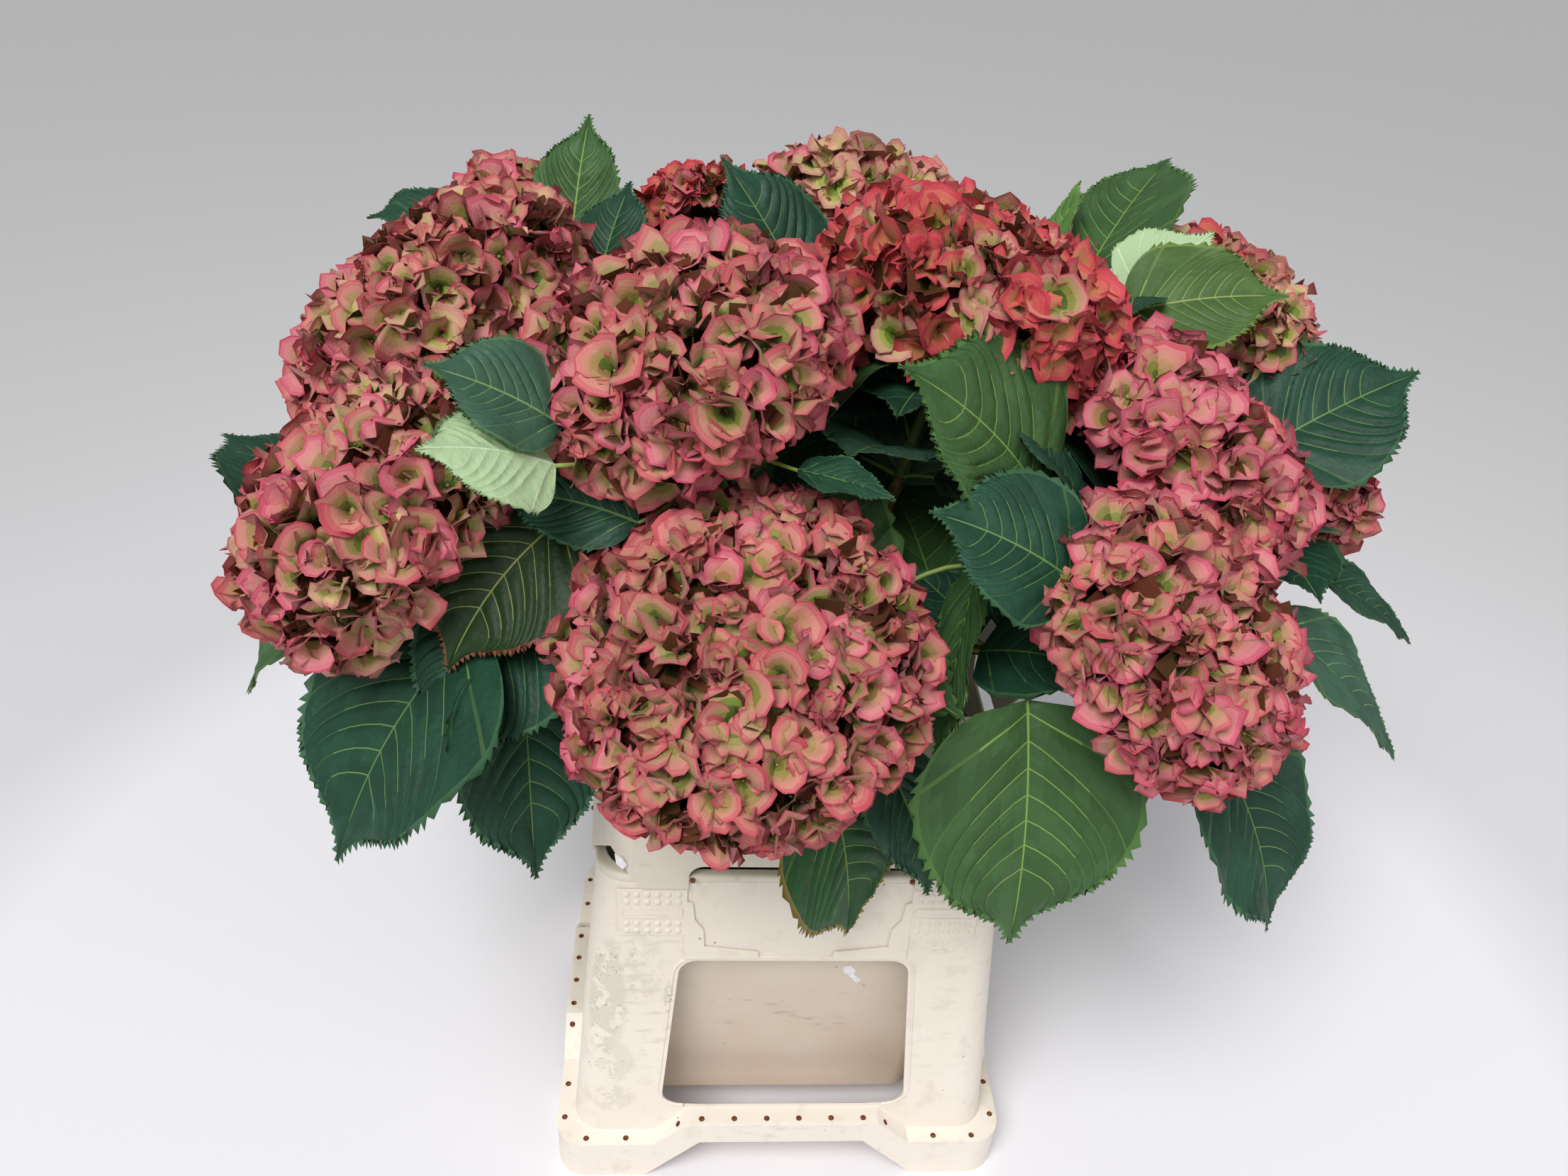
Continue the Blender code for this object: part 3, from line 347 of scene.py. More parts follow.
def plain(name, colour, roughness, sheen=0.0, specular=0.5, wrinkle=None):
    """A material of one colour, dealt out part by part, with wrinkles of one grain and height."""
    made, tree, shader = new_material(name)
    shader.inputs["Base Color"].default_value = colour
    shader.inputs["Roughness"].default_value = roughness
    shader.inputs["Sheen Weight"].default_value = sheen
    shader.inputs["Specular IOR Level"].default_value = specular
    made.diffuse_color = colour
    if wrinkle:
        place = add_node(tree, "TexCoord").outputs["Object"]
        crumple = add_node(tree, "TexNoise", {"Vector": place, "Scale": 1 / wrinkle[0], "Detail": 2})
        bump = add_node(tree, "Bump", {"Height": crumple.outputs["Fac"], "Strength": 0.8, "Distance": wrinkle[1]})
        tree.links.new(bump.outputs["Normal"], shader.inputs["Normal"])
    return made


# Mesh work

class Surface:
    """Points, four-sided faces and the material slot of each, gathered into one mesh."""

    def __init__(self):
        self.points = []
        self.faces = []
        self.slots = []
        self.count = 0

    def add(self, points, faces, slots):
        """Points (n, 3), faces (m, 4) counted from this batch's first point, slots (m)."""
        self.points.append(np.asarray(points, float).reshape(-1, 3))
        self.faces.append(np.asarray(faces, int).reshape(-1, 4) + self.count)
        self.slots.append(np.broadcast_to(np.asarray(slots, int), (len(self.faces[-1]),)))
        self.count += len(self.points[-1])

    def all_points(self):
        return np.concatenate(self.points)

    def build(self, name, materials):
        points = self.all_points()
        faces = np.concatenate(self.faces)
        slots = np.concatenate(self.slots)
        mesh = bpy.data.meshes.new(name)
        mesh.vertices.add(len(points))
        mesh.vertices.foreach_set("co", points.ravel())
        mesh.loops.add(faces.size)
        mesh.loops.foreach_set("vertex_index", faces.ravel())
        mesh.polygons.add(len(faces))
        mesh.polygons.foreach_set("loop_start", np.arange(0, faces.size, 4))
        used = np.unique(slots)
        for index in used:
            mesh.materials.append(materials[index])
        mesh.polygons.foreach_set("material_index", np.searchsorted(used, slots))
        mesh.polygons.foreach_set("use_smooth", np.ones(len(faces), bool))
        mesh.update(calc_edges=True)
        mesh.validate()
        made = bpy.data.objects.new(name, mesh)
        bpy.context.scene.collection.objects.link(made)
        return made


def grid_faces(rows, columns):
    """Faces of a grid of points that is rows by columns."""
    index = np.arange(rows * columns).reshape(rows, columns)
    return np.stack((index[:-1, :-1], index[1:, :-1], index[1:, 1:], index[:-1, 1:]), -1).reshape(-1, 4)


def tube_faces(rings, sides):
    """Side faces of a tube and one fan of four-sided faces over each end."""
    index = np.arange(rings * sides).reshape(rings, sides)
    ahead = np.roll(index, -1, axis=1)
    walls = np.stack((index[:-1], ahead[:-1], ahead[1:], index[1:]), -1).reshape(-1, 4)
    caps = []
    for ring, flip in ((0, True), (rings - 1, False)):
        for k in range(1, sides - 2, 2):
            face = [ring * sides, ring * sides + k, ring * sides + k + 1, ring * sides + k + 2]
            caps.append(face[::-1] if flip else face)
    return np.concatenate((walls, np.array(caps)))


def tube_points(route, radii, sides):
    """Rings of a tube along a route, with one radius for each point."""
    rings = []
    side = None
    for i, here in enumerate(route):
        ahead = (route[min(i + 1, len(route) - 1)] - route[max(i - 1, 0)]).normalized()
        if side is None:
            side = ahead.orthogonal().normalized()
        side = (side - ahead * side.dot(ahead)).normalized()
        across = ahead.cross(side)
        rings.append([here + radii[i] * (side * math.cos(a) + across * math.sin(a))
                      for a in (2 * math.pi * k / sides for k in range(sides))])
    return np.array(rings)


def surface_tree(surface):
    return BVHTree.FromPolygons(surface.all_points().tolist(), np.concatenate(surface.faces).tolist())


# The plants' layout, by the rule that their solids follow

def bloom_axis(middle):
    return Vector((middle.x / LEAN_REACH, middle.y / LEAN_REACH, 1.0)).normalized()


def squeezed(value, half, reach):
    return half * math.tanh(value / reach)


def spread_apart(places, spacing, half, rounds=60):
    """Push places that are too close apart, inside a rectangle."""
    places = [Vector(p) for p in places]
    for _ in range(rounds):
        for i, here in enumerate(places):
            for there in places[:i]:
                offset = here - there
                short = spacing - offset.length
                if short > 0:
                    push = offset.normalized() * short / 2
                    here += push
                    there -= push
        for here in places:
            here.x = min(half[0], max(-half[0], here.x))
            here.y = min(half[1], max(-half[1], here.y))
    return places


def smooth_route(knots, count):
    """Catmull-Rom curve through the knots, count points for each span."""
    ends = [knots[0] * 2 - knots[1]] + knots + [knots[-1] * 2 - knots[-2]]
    route = []
    for i in range(1, len(ends) - 2):
        a, b, c, d = ends[i - 1:i + 3]
        for step in range(count):
            t = step / count
            route.append(0.5 * (2 * b + (c - a) * t + (2 * a - 5 * b + 4 * c - d) * t * t
                                + (3 * b - a - 3 * c + d) * t ** 3))
    route.append(knots[-1])
    return route


def cut_route(route, distance):
    """Split a route at a distance from its end."""
    lengths = [(b - a).length for a, b in zip(route, route[1:])]
    reach = sum(lengths) - distance
    for i, length in enumerate(lengths):
        if reach <= length:
            cut = route[i].lerp(route[i + 1], reach / length)
            return route[:i + 1] + [cut], [cut] + route[i + 1:]
        reach -= length
    return route, [route[-1]]


def stem_plan():
    """Middle, axis, radius and route of each cut stem, from its foot into the bloom."""
    names = list(BLOOMS)
    middles = [Vector(BLOOMS[name][0]) * MM for name in names]
    openings = spread_apart([Vector((squeezed(m.x, OPENING_HALF[0], OPENING_REACH[0]),
                                     squeezed(m.y, OPENING_HALF[1], OPENING_REACH[1]))) for m in middles],
                            STEM_SPACING, OPENING_HALF)
    feet = spread_apart([p * FOOT_SPREAD for p in openings], STEM_SPACING, FOOT_HALF)
    plan = {}
    for name, middle, opening, foot in zip(names, middles, openings, feet):
        radius = BLOOMS[name][1] * MM
        axis = bloom_axis(middle)
        seat = middle - axis * radius * DOME_FOOT * CORE_SHARE
        start = Vector((foot.x, foot.y, BUCKET_FOOT + WALL + 2 * GAP))
        neck = Vector((opening.x, opening.y, COLLAR_TOP - 4 * MM))
        approach = seat - axis * APPROACH
        approach.z = max(approach.z, COLLAR_TOP + 14 * MM)
        knots = [start, start.lerp(neck, 0.5), neck, approach, seat + axis * radius * 0.08]
        bloom = {"name": name, "middle": middle, "axis": axis, "radius": radius, "seat": seat}
        lower, bloom["peduncle"] = cut_route(smooth_route(knots, 12), radius * PEDUNCLE_SHARE)
        bloom["woody"], bloom["leafy"] = cut_route(lower, SHORT_LEAFY.get(name, LEAFY_LENGTH))
        plan[name] = bloom
    return plan


def nearest_on(route, point):
    """The nearest place on a route that isn't close to either end."""
    total = sum((b - a).length for a, b in zip(route, route[1:]))
    best = None
    walked = 0.0
    for a, b in zip(route, route[1:]):
        middle = a.lerp(b, 0.5)
        share = (walked + (b - a).length / 2) / total
        walked += (b - a).length
        if 0.08 < share < 0.92 and (best is None or (middle - point).length < (best - point).length):
            best = middle
    return best


def dome_point(bloom, polar, around, share):
    """A point on a bloom's dome: polar angle from its axis, share of its full size."""
    top = HEAD_TOPS.get(bloom["name"], HEAD_TOP)
    foot = HEAD_FEET.get(bloom["name"], HEAD_FOOT)
    side = bloom["axis"].orthogonal().normalized()
    across = bloom["axis"].cross(side)
    rise = math.cos(polar) * (top if polar < math.pi / 2 else foot)
    out = side * math.cos(around) + across * math.sin(around)
    return bloom["middle"] + (bloom["axis"] * rise + out * math.sin(polar)) * bloom["radius"] * share


def dome_normal(bloom, polar, around):
    near = 0.01
    here = dome_point(bloom, polar, around, 1.0)
    down = dome_point(bloom, polar + near, around, 1.0) - here
    turn = dome_point(bloom, polar, around + near, 1.0) - here
    return down.cross(turn).normalized()


def dome_share(bloom, point):
    """How far out a point lies in a bloom's dome: 1 on its skin."""
    offset = point - bloom["middle"]
    along = offset.dot(bloom["axis"])
    flat = math.sqrt(max(0.0, offset.length_squared - along * along))
    height = DOME_TOP if along > 0 else DOME_FOOT
    return math.hypot(along / height, flat) / bloom["radius"]


# Leaves

def leaf_width(share):
    """Half width of an ovate leaf with a drawn-out tip, as a share of its greatest."""
    share = np.clip(share, 0, 1)
    body = np.maximum(0.0, np.sin(np.pi * share ** 0.70)) ** 0.62 * (1 - share ** 3.2) ** 0.45
    taper = np.clip((share - 0.70) / 0.23, 0, 1)
    return body * (1 - 0.58 * taper ** 2 * (3 - 2 * taper))


def leaf_grid(pairs, base, between, tip, side):
    """Rows from the midrib to the margin that follow the side veins, and the columns that cross them.

    Gives the rows' places on the midrib, which gaps between rows are veins, how far each row lies
    in the swollen field between two veins, and the columns' shares of the half width.
    """
    places = []
    veins = []
    quilt = []
    step = (VEIN_LAST - VEIN_FIRST) / pairs

    def rows(start, end, count, swell):
        for k in range(count):
            share = k / (count - 1)
            places.append(start + (end - start) * share)
            veins.append(False)
            quilt.append(swell * math.sin(math.pi * share))

    rows(0.0, VEIN_FIRST - VEIN_HALF, base, 0.6)
    for pair in range(pairs + 1):
        veins[-1] = True
        vein = VEIN_FIRST + pair * step
        if pair < pairs:
            rows(vein + VEIN_HALF, vein + step - VEIN_HALF, between, 1.0)
        else:
            rows(vein + VEIN_HALF, 1.0, tip, 0.6)
    half = np.array(side)
    return np.array(places), np.array(veins[:-1]), np.array(quilt), np.concatenate((-half[::-1], half))


FINE_LEAF = leaf_grid(6, 12, 7, 12, (0.02, 0.12, 0.25, 0.38, 0.51, 0.64, 0.76, 0.87, 0.95, 1.0))
SMALL_LEAF = leaf_grid(4, 5, 3, 6, (0.03, 0.34, 0.66, 0.92, 1.0))
ROUGH_LEAF = leaf_grid(2, 3, 3, 4, (0.05, 0.35, 0.7, 1.0))


def leaf_blade(surface, grid, first_slot, leaf, chance):
    """A quilted, toothed blade on rows that follow its side veins, with an underside of its own."""
    places, veins, quilt, across = grid
    rows = len(places)
    columns = len(across)
    start = places[:, None]
    reach = np.abs(across)[None, :]
    hand = np.sign(across)[None, :]
    length = leaf.length
    along = start + VEIN_SWEEP * reach ** 1.2 * (1 - start) * (1 - np.exp(-start / VEIN_RISE))
    size = length / (150 * MM)

    half = leaf.width * LEAF_STRETCH * length / 2 * leaf_width(along)
    half = np.maximum(half, (1.2 - 0.9 * start) * MM)
    rib = (0.75 - 0.45 * start) * MM
    lateral = np.where(reach < 0.06, np.minimum(rib, half * 0.3), half * reach)
    if rows > 8:
        tooth_row = (np.arange(rows) % 2 == 0)[:, None] & (start > 0.03) & (start < 0.99)
        toothed = tooth_row & (reach > 0.99)
        tooth = 3.6 * MM * size * (0.75 + 0.35 * np.sin(start * 57))
        lateral = lateral + toothed * tooth - (~tooth_row & (reach > 0.99)) * (0.8 * MM * size)
        along = along + toothed * 0.017

    # the blade's own shape: folded along the midrib, quilted between veins, waved at the margin
    phase = chance.uniform(0, 2 * math.pi)
    waves = chance.uniform(1.4, 2.4)
    wave = np.sin(2 * math.pi * waves * along + phase + hand * 0.9)
    tangle = [chance.uniform(0, 50) for _ in range(2)]
    signed = lateral * hand

    def rough(grain, shift):
        """Smooth noise over the blade with lumps of one size."""
        return np.array([[noise.noise(Vector((a * length / grain + shift, l / grain, tangle[1])))
                          for a, l in zip(arow, lrow)] for arow, lrow in zip(along, signed)])

    inside = 4 * reach * (1 - reach)
    on_blade = reach > 0.06
    height = lateral * LEAF_FOLD * (1 - 0.25 * reach)
    height = height + quilt[:, None] * (0.45 + 0.55 * inside) * on_blade * 1.9 * MM * size
    height = height + rough(5.5 * MM, tangle[0]) * 0.9 * MM * on_blade
    height = height + wave * reach ** 2.2 * 3.6 * MM * size * np.sin(np.pi * np.clip(along, 0, 1)) ** 0.5
    height = height + on_blade * 0.7 * MM

    # where the midrib runs, bending by the droop along the blade
    top = leaf.rise + leaf.droop / 2
    lean = top - leaf.droop * along
    forward = length * (math.sin(top) - np.sin(lean)) / leaf.droop
    climb = length * (np.cos(lean) - math.cos(top)) / leaf.droop
    heading = np.array((math.cos(leaf.azimuth), math.sin(leaf.azimuth), 0.0))
    level = np.array((-heading[1], heading[0], 0.0))
    upward = np.array((0.0, 0.0, 1.0))
    up = upward * np.cos(lean)[..., None] - heading * np.sin(lean)[..., None]
    side = level * math.cos(leaf.roll) + up * math.sin(leaf.roll)
    above = up * math.cos(leaf.roll) - level * math.sin(leaf.roll)
    spine = np.array(leaf.foot) + heading * forward[..., None] + upward * climb[..., None]
    skin = spine + side * signed[..., None] + above * height[..., None]
    thick = LEAF_THICK * (1 - 0.55 * reach) * np.ones_like(along)
    belly = skin - above * thick[..., None]

    # material of each face, from the vein rows, the margin and a slow mottling
    slots = np.zeros((rows - 1, columns - 1), int)
    patch = rough(19 * MM, tangle[0] + 9)[:-1, :-1]
    slots[patch > 0.13] = 2
    slots[patch < -0.13] = 1
    inner = np.minimum(reach[:, :-1], reach[:, 1:])
    slots[veins[:, None] & (inner < 0.90)] = 7
    slots[veins[:, None] & (inner < 0.50)] = 3
    slots[:, columns // 2 - 1] = 3
    slots[:, 0] = 4
    slots[:, -1] = 4
    under = np.where((slots == 3) | (slots == 7), 6, 5)

    count = rows * columns
    faces = grid_faces(rows, columns)
    index = np.arange(count).reshape(rows, columns)
    rim = np.concatenate((index[:, 0], index[-1, 1:], index[-2::-1, -1], index[0, -2:0:-1]))
    after = np.roll(rim, -1)
    edge = np.stack((rim, after, after + count, rim + count), -1)
    flipped = faces[:, (0, 3, 2, 1)] + count
    surface.add(np.concatenate((skin.reshape(-1, 3), belly.reshape(-1, 3))),
                np.concatenate((faces, flipped, edge)),
                np.concatenate((slots.ravel(), under.ravel(), np.full(len(edge), 4))) + first_slot)


def rough_tree(leaf):
    """A few faces of a leaf, to test what it would touch."""
    shape = Surface()
    leaf_blade(shape, ROUGH_LEAF, 0, leaf, random.Random(1))
    return shape.all_points(), surface_tree(shape)


def settled(leaf, taken):
    """The leaf, tilted or rolled a little further where it would poke through another one."""
    for turn in range(SETTLE_TRIES):
        step = math.radians(3 * ((turn + 1) // 2)) * (-1) ** turn
        tried = leaf._replace(rise=leaf.rise + step, roll=leaf.roll - step)
        tree = rough_tree(tried)[1]
        if not any(tree.overlap(other) for other in taken):
            taken.append(tree)
            return tried
    taken.append(rough_tree(leaf)[1])
    return leaf


def inner_leaves(name, bloom, plan, taken, chance):
    """Pairs of smaller leaves, each pair turned across the last, wherever there is room for them."""
    found = []
    low, high = (Vector(corner) for corner in CAD_BOX)
    route = [point for point in bloom["woody"] if point.z > COLLAR_TOP + 12 * MM] + bloom["leafy"]
    turn = chance.uniform(0, math.pi)
    for place in INNER_NODES:
        node = route[round(place * (len(route) - 1))]
        turn += math.pi / 2
        for opposite in (0, math.pi):
            for attempt in range(INNER_TRIES):
                azimuth = turn + opposite + chance.uniform(-0.12, 0.12) * attempt
                rise = math.radians(chance.uniform(-12, 46))
                heading = Vector((math.cos(azimuth), math.sin(azimuth), 0.25))
                length = chance.uniform(*INNER_LENGTH) * (1 - 0.025 * attempt)
                leaf = Leaf(name, node + heading * chance.uniform(*INNER_STALK), azimuth, rise, length,
                            chance.uniform(0.68, 0.84), math.radians(chance.uniform(20, 46)),
                            math.radians(chance.uniform(-22, 22)), chance.choice(("deep", "deep", "mid", "dusty")))
                points, tree = rough_tree(leaf)
                if any(not all(low[i] < p[i] < high[i] for i in range(3)) for p in points):
                    continue
                if any(p[2] < COLLAR_TOP + 6 * MM for p in points):
                    continue
                if any(dome_share(other, Vector(p)) < 0.97 for other in plan.values() for p in points):
                    continue
                if any(tree.overlap(other) for other in taken):
                    continue
                taken.append(tree)
                found.append((leaf, node))
                break
    return found


def petiole(surface, slot, node, foot, forward, length):
    """A leaf stalk from its node on the stem to the foot of the blade."""
    span = (foot - node).length
    bend = node.lerp(foot, 0.55).lerp(foot - forward * span * 0.45, 0.45)
    count = 9
    route = []
    for k in range(count):
        t = k / (count - 1)
        route.append(node * (1 - t) ** 2 + bend * (2 * t * (1 - t)) + foot * t * t)
    thick = (1.1 + 0.7 * length / (150 * MM)) * MM
    radii = [thick * (1.35 - 0.55 * (k / (count - 1)) ** 0.5) for k in range(count)]
    points = tube_points(route, radii, 8)
    surface.add(points, tube_faces(count, 8), slot)


# Florets

def sepal_points(grid, count, chance, form):
    """Fan-shaped sepals along +X with +Z up, as arrays (count, rows, columns).

    Each row is the rim's outline drawn in towards the heart, so bands of colour follow the rim.
    """
    u = grid[0][None, :, None]
    v = grid[1][None, None, :]
    length = form["reach"][:, None, None]
    angle = form["spread"][:, None, None] * v
    phase = chance.uniform(0, 2 * math.pi, (count, 1, 1))
    outline = (1 - 0.58 * np.abs(v) ** 3.2) * (1 + 0.035 * np.sin(phase + 5 * angle))
    outline = outline + chance.normal(0, 0.032, (count, 1, grid[1].size)) * u ** 4
    along = u * outline * np.cos(angle)
    across = u * outline * np.sin(angle)

    # the midline leaves the heart steeply and bends outward
    steps = 24
    fine = (np.arange(steps) + 0.5) / steps
    bend = form["lift"][:, None] + (form["curl"] - form["lift"])[:, None] * fine[None, :]
    out = np.concatenate((np.zeros((count, 1)), np.cumsum(np.cos(bend), 1) / steps), 1)
    rise = np.concatenate((np.zeros((count, 1)), np.cumsum(np.sin(bend), 1) / steps), 1)
    at = np.clip(along * steps, 0, steps)
    low = np.minimum(np.floor(at).astype(int), steps - 1)
    share = at - low
    rows = np.arange(count)[:, None, None]
    x = (out[rows, low] * (1 - share) + out[rows, low + 1] * share) * length
    z = (rise[rows, low] * (1 - share) + rise[rows, low + 1] * share) * length

    # cupped across, ruffled along the rim, and crumpled a little all over
    lean = form["lift"][:, None, None] + (form["curl"] - form["lift"])[:, None, None] * u
    hollow = form["cup"][:, None, None] * (across / 0.56) ** 2 * 0.56 * length
    hollow = hollow + (form["fold"][:, None, None] * np.abs(across) + form["bank"][:, None, None] * across) * length
    waves = chance.uniform(1.8, 4.0, (count, 1, 1))
    hollow = hollow + np.sin(phase + waves * math.pi * v) * u ** 2.2 * form["ruffle"][:, None, None]
    hollow = hollow + chance.normal(0, 0.30 * MM, x.shape) * u
    x = x - np.sin(lean) * hollow
    z = z + np.cos(lean) * hollow
    return np.stack((x, across * length, z), -1)


def sepal_slots(grid, count, chance, palette):
    """Material slot of each face, by how near its row lies to the heart or the rim."""
    u = (grid[0][:-1] + grid[0][1:])[None, :, None] / 2
    shift = chance.normal(0.0, 0.12, (count, 1, 1))
    reach = np.clip(u ** 1.5 + shift * (1 - u ** 3), 0, 0.999)
    band = np.floor(reach * SEPAL_BANDS).astype(int) + np.zeros((1, 1, grid[1].size - 1), int)
    return palette[:, None, None] * SEPAL_BANDS + band


def place_florets(bloom, plan, leaf_trees, spacing, depth, chance):
    """Places and normals of the florets on a bloom, high on its lumps and sunk in its grooves."""
    radius = bloom["radius"]
    foot = HEAD_FEET.get(bloom["name"], HEAD_FOOT)
    limit = math.cos(FLORET_LIMIT)
    skin = HEAD_SWELL.get(bloom["name"], 1.0) - depth / radius
    area = (0.80 + 0.25 * foot) * math.pi * (1 - limit) * (radius * (skin + depth / radius)) ** 2
    count = round(area / (0.87 * spacing ** 2))
    lump_count = max(5, round(14 * (radius / (100 * MM)) ** 1.5))
    lumps = []
    for k in range(lump_count):
        polar = math.acos(1 - (1 - limit) * (k + 0.5) / lump_count)
        around = k * GOLDEN_ANGLE + chance.uniform(-0.25, 0.25)
        lumps.append((dome_point(bloom, polar, around, skin), dome_normal(bloom, polar, around)))
    lump_reach = radius * 2.0 / math.sqrt(lump_count)
    florets = []
    for k in range(count):
        polar = abs(math.acos(1 - (1 - limit) * (k + 0.5) / count) + chance.normal(0, 0.030))
        around = k * GOLDEN_ANGLE + chance.normal(0, 0.05)
        place = dome_point(bloom, polar, around, skin)
        normal = dome_normal(bloom, polar, around)
        lump, lump_normal = min(lumps, key=lambda lump: (lump[0] - place).length)
        offset = place - lump
        edge = min(1.0, offset.length / lump_reach)
        leaf_gap = min((tree.find_nearest(place, 16 * MM)[3] or 16 * MM for tree in leaf_trees), default=16 * MM)
        sink = 0.08 * edge ** 2 + chance.uniform(-0.04, 0.03) + (0.05 if leaf_gap < 12 * MM else 0)
        place = bloom["middle"] + (place - bloom["middle"]) * (1.0 - sink)
        outward = (offset.normalized() * edge * 0.85 + lump_normal).normalized()
        normal = (normal * 0.5 + outward * 0.5 + Vector(chance.normal(0, 0.34, 3))).normalized()
        if any(other is not bloom and dome_share(other, place) < 0.86 for other in plan.values()):
            continue
        if leaf_gap < 3 * MM:
            continue
        florets.append((place, normal))
    return florets


def add_sepals(surface, grid, florets, palette, size, chance):
    """Four sepals in two crossed pairs for every floret."""
    count = len(florets)
    total = count * 4
    openness = np.repeat(chance.uniform(0, 1, count), 4) * 0.85 + chance.uniform(0, 0.15, total)
    pair = np.tile((0, 1, 0, 1), count)
    form = {
        "reach": FLORET_REACH * size * np.repeat(chance.uniform(0.74, 1.12, count), 4)
                 * chance.uniform(0.86, 1.10, total) * (1 - 0.05 * pair),
        "spread": np.radians(chance.uniform(48, 60, total)),
        "lift": np.radians(76 - 46 * openness + chance.uniform(-18, 18, total)),
        "curl": np.radians(48 - 66 * openness + chance.uniform(-34, 34, total)),
        "cup": chance.uniform(-0.40, 0.35, total),
        "fold": chance.uniform(-0.05, 0.55, total),
        "bank": chance.uniform(-0.50, 0.50, total),
        "ruffle": chance.uniform(1.2, 3.4, total) * MM,
    }
    local = sepal_points(grid, total, chance, form)
    twist = np.repeat(chance.uniform(0, math.pi / 2, count), 4) + np.tile(np.arange(4) * math.pi / 2, count)
    twist = twist + chance.normal(0, 0.15, total)
    normals = np.repeat(np.array([f[1][:] for f in florets]), 4, axis=0)
    places = np.repeat(np.array([f[0][:] for f in florets]), 4, axis=0)
    helper = np.where(np.abs(normals[:, 2:3]) < 0.9, (0.0, 0.0, 1.0), (1.0, 0.0, 0.0))
    first = np.cross(helper, normals)
    first /= np.linalg.norm(first, axis=1, keepdims=True)
    second = np.cross(normals, first)
    ahead = first * np.cos(twist)[:, None] + second * np.sin(twist)[:, None]
    aside = np.cross(normals, ahead)
    world = (places[:, None, None, :] + local[..., 0:1] * ahead[:, None, None, :]
             + local[..., 1:2] * aside[:, None, None, :]
             + (local[..., 2:3] + pair[:, None, None, None] * 0.6 * MM) * normals[:, None, None, :])
    cell = grid_faces(len(grid[0]), len(grid[1]))
    faces = (cell[None] + (np.arange(total) * len(grid[0]) * len(grid[1]))[:, None, None]).reshape(-1, 4)
    surface.add(world, faces, sepal_slots(grid, total, chance, np.repeat(palette, 4)).ravel())


def bloom_mesh(name, bloom, plan, leaf_trees, materials):
    """All sepals, hearts and flower stalks of one bloom, with the core in painted shade behind them."""
    chance = np.random.default_rng(int(name) * 7 + 3)
    size = FLORET_SIZES.get(name, 1.0)
    kinds = list(SEPALS)
    weights = np.array([BLOOMS[name][2].get(kind, 0) for kind in kinds], float)
    florets = place_florets(bloom, plan, leaf_trees, FLORET_SPACING * size, FLORET_DEPTH, chance)
    palette = chance.choice(len(kinds), len(florets), p=weights / weights.sum())
    surface = Surface()
    add_sepals(surface, SEPAL_GRID, florets, palette, size, chance)
    shaded = place_florets(bloom, plan, leaf_trees, SHADED_SPACING, SHADED_DEPTH, chance)
    add_sepals(surface, SHADED_GRID, shaded, np.full(len(shaded), kinds.index("shade")), size, chance)
    add_hearts(surface, florets, chance)
    add_flower_stalks(surface, bloom, florets)
    add_core(surface, bloom)
    return surface.build("florets_" + name, materials)


HEART_SLOT = len(SEPALS) * SEPAL_BANDS


def add_hearts(surface, florets, chance):
    """The small closed bud in the middle of each floret."""
    corners = np.array([(x, y, z) for z in (-1, 1) for y in (-1, 1) for x in (-1, 1)], float)
    corners /= np.linalg.norm(corners[0])
    faces = np.array(((0, 2, 3, 1), (4, 5, 7, 6), (0, 1, 5, 4), (2, 6, 7, 3), (0, 4, 6, 2), (1, 3, 7, 5)))
    for place, normal in florets:
        size = chance.uniform(1.1, 1.6) * MM
        surface.add(np.array(place) + np.array(normal) * 1.6 * MM + corners * size, faces, HEART_SLOT)


def add_flower_stalks(surface, bloom, florets):
    """Thin stalks from the head's foot to each floret, each bending through a fork of its own."""
    foot = bloom["seat"]
    middle = bloom["middle"]
    for place, normal in florets:
        fork = foot.lerp(middle.lerp(place, 0.55), 0.55)
        end = place - normal * 0.5 * MM
        route = [foot.lerp(fork, 0.2), fork, fork.lerp(end, 0.6) - normal * 2 * MM, end]
        surface.add(tube_points(route, (1.6 * MM, 1.1 * MM, 0.8 * MM, 0.7 * MM), 4), tube_faces(4, 4),
                    HEART_SLOT + 1)


def add_core(surface, bloom):
    """The inside of the head in painted shade, a dark skin which closes the view between the florets."""
    around = 24
    levels = 14
    rings = []
    skin = 1 - 1.25 * SHADED_DEPTH / bloom["radius"]
    for level in range(levels + 1):
        polar = max(0.02, math.radians(112) * level / levels)
        ring = []
        for k in range(around):
            share = skin + 0.04 * noise.noise(Vector((polar * 3, k * 0.9, bloom["radius"] * 50)))
            ring.append(dome_point(bloom, polar, 2 * math.pi * k / around, share))
        rings.append(ring)
    rings.append([dome_point(bloom, math.radians(150), 2 * math.pi * k / around, 0.40) for k in range(around)])
    surface.add(np.array(rings), tube_faces(len(rings), around), HEART_SLOT + 2)


# Stems

def swelling(distance, nodes):
    """How much thicker a stem is near the nodes where leaves sat."""
    return sum(0.28 * math.exp(-((distance - place) / (4.5 * MM)) ** 2) for place in nodes)


def fine_route(route, spacing):
    """Points at an even spacing along a route."""
    lengths = [(b - a).length for a, b in zip(route, route[1:])]
    total = sum(lengths)
    count = max(3, round(total / spacing))
    points = []
    for k in range(count + 1):
        reach = total * k / count
        for i, length in enumerate(lengths):
            if reach <= length or i == len(lengths) - 1:
                points.append(route[i].lerp(route[i + 1], min(1.0, reach / length)))
                break
            reach -= length
    return points, total


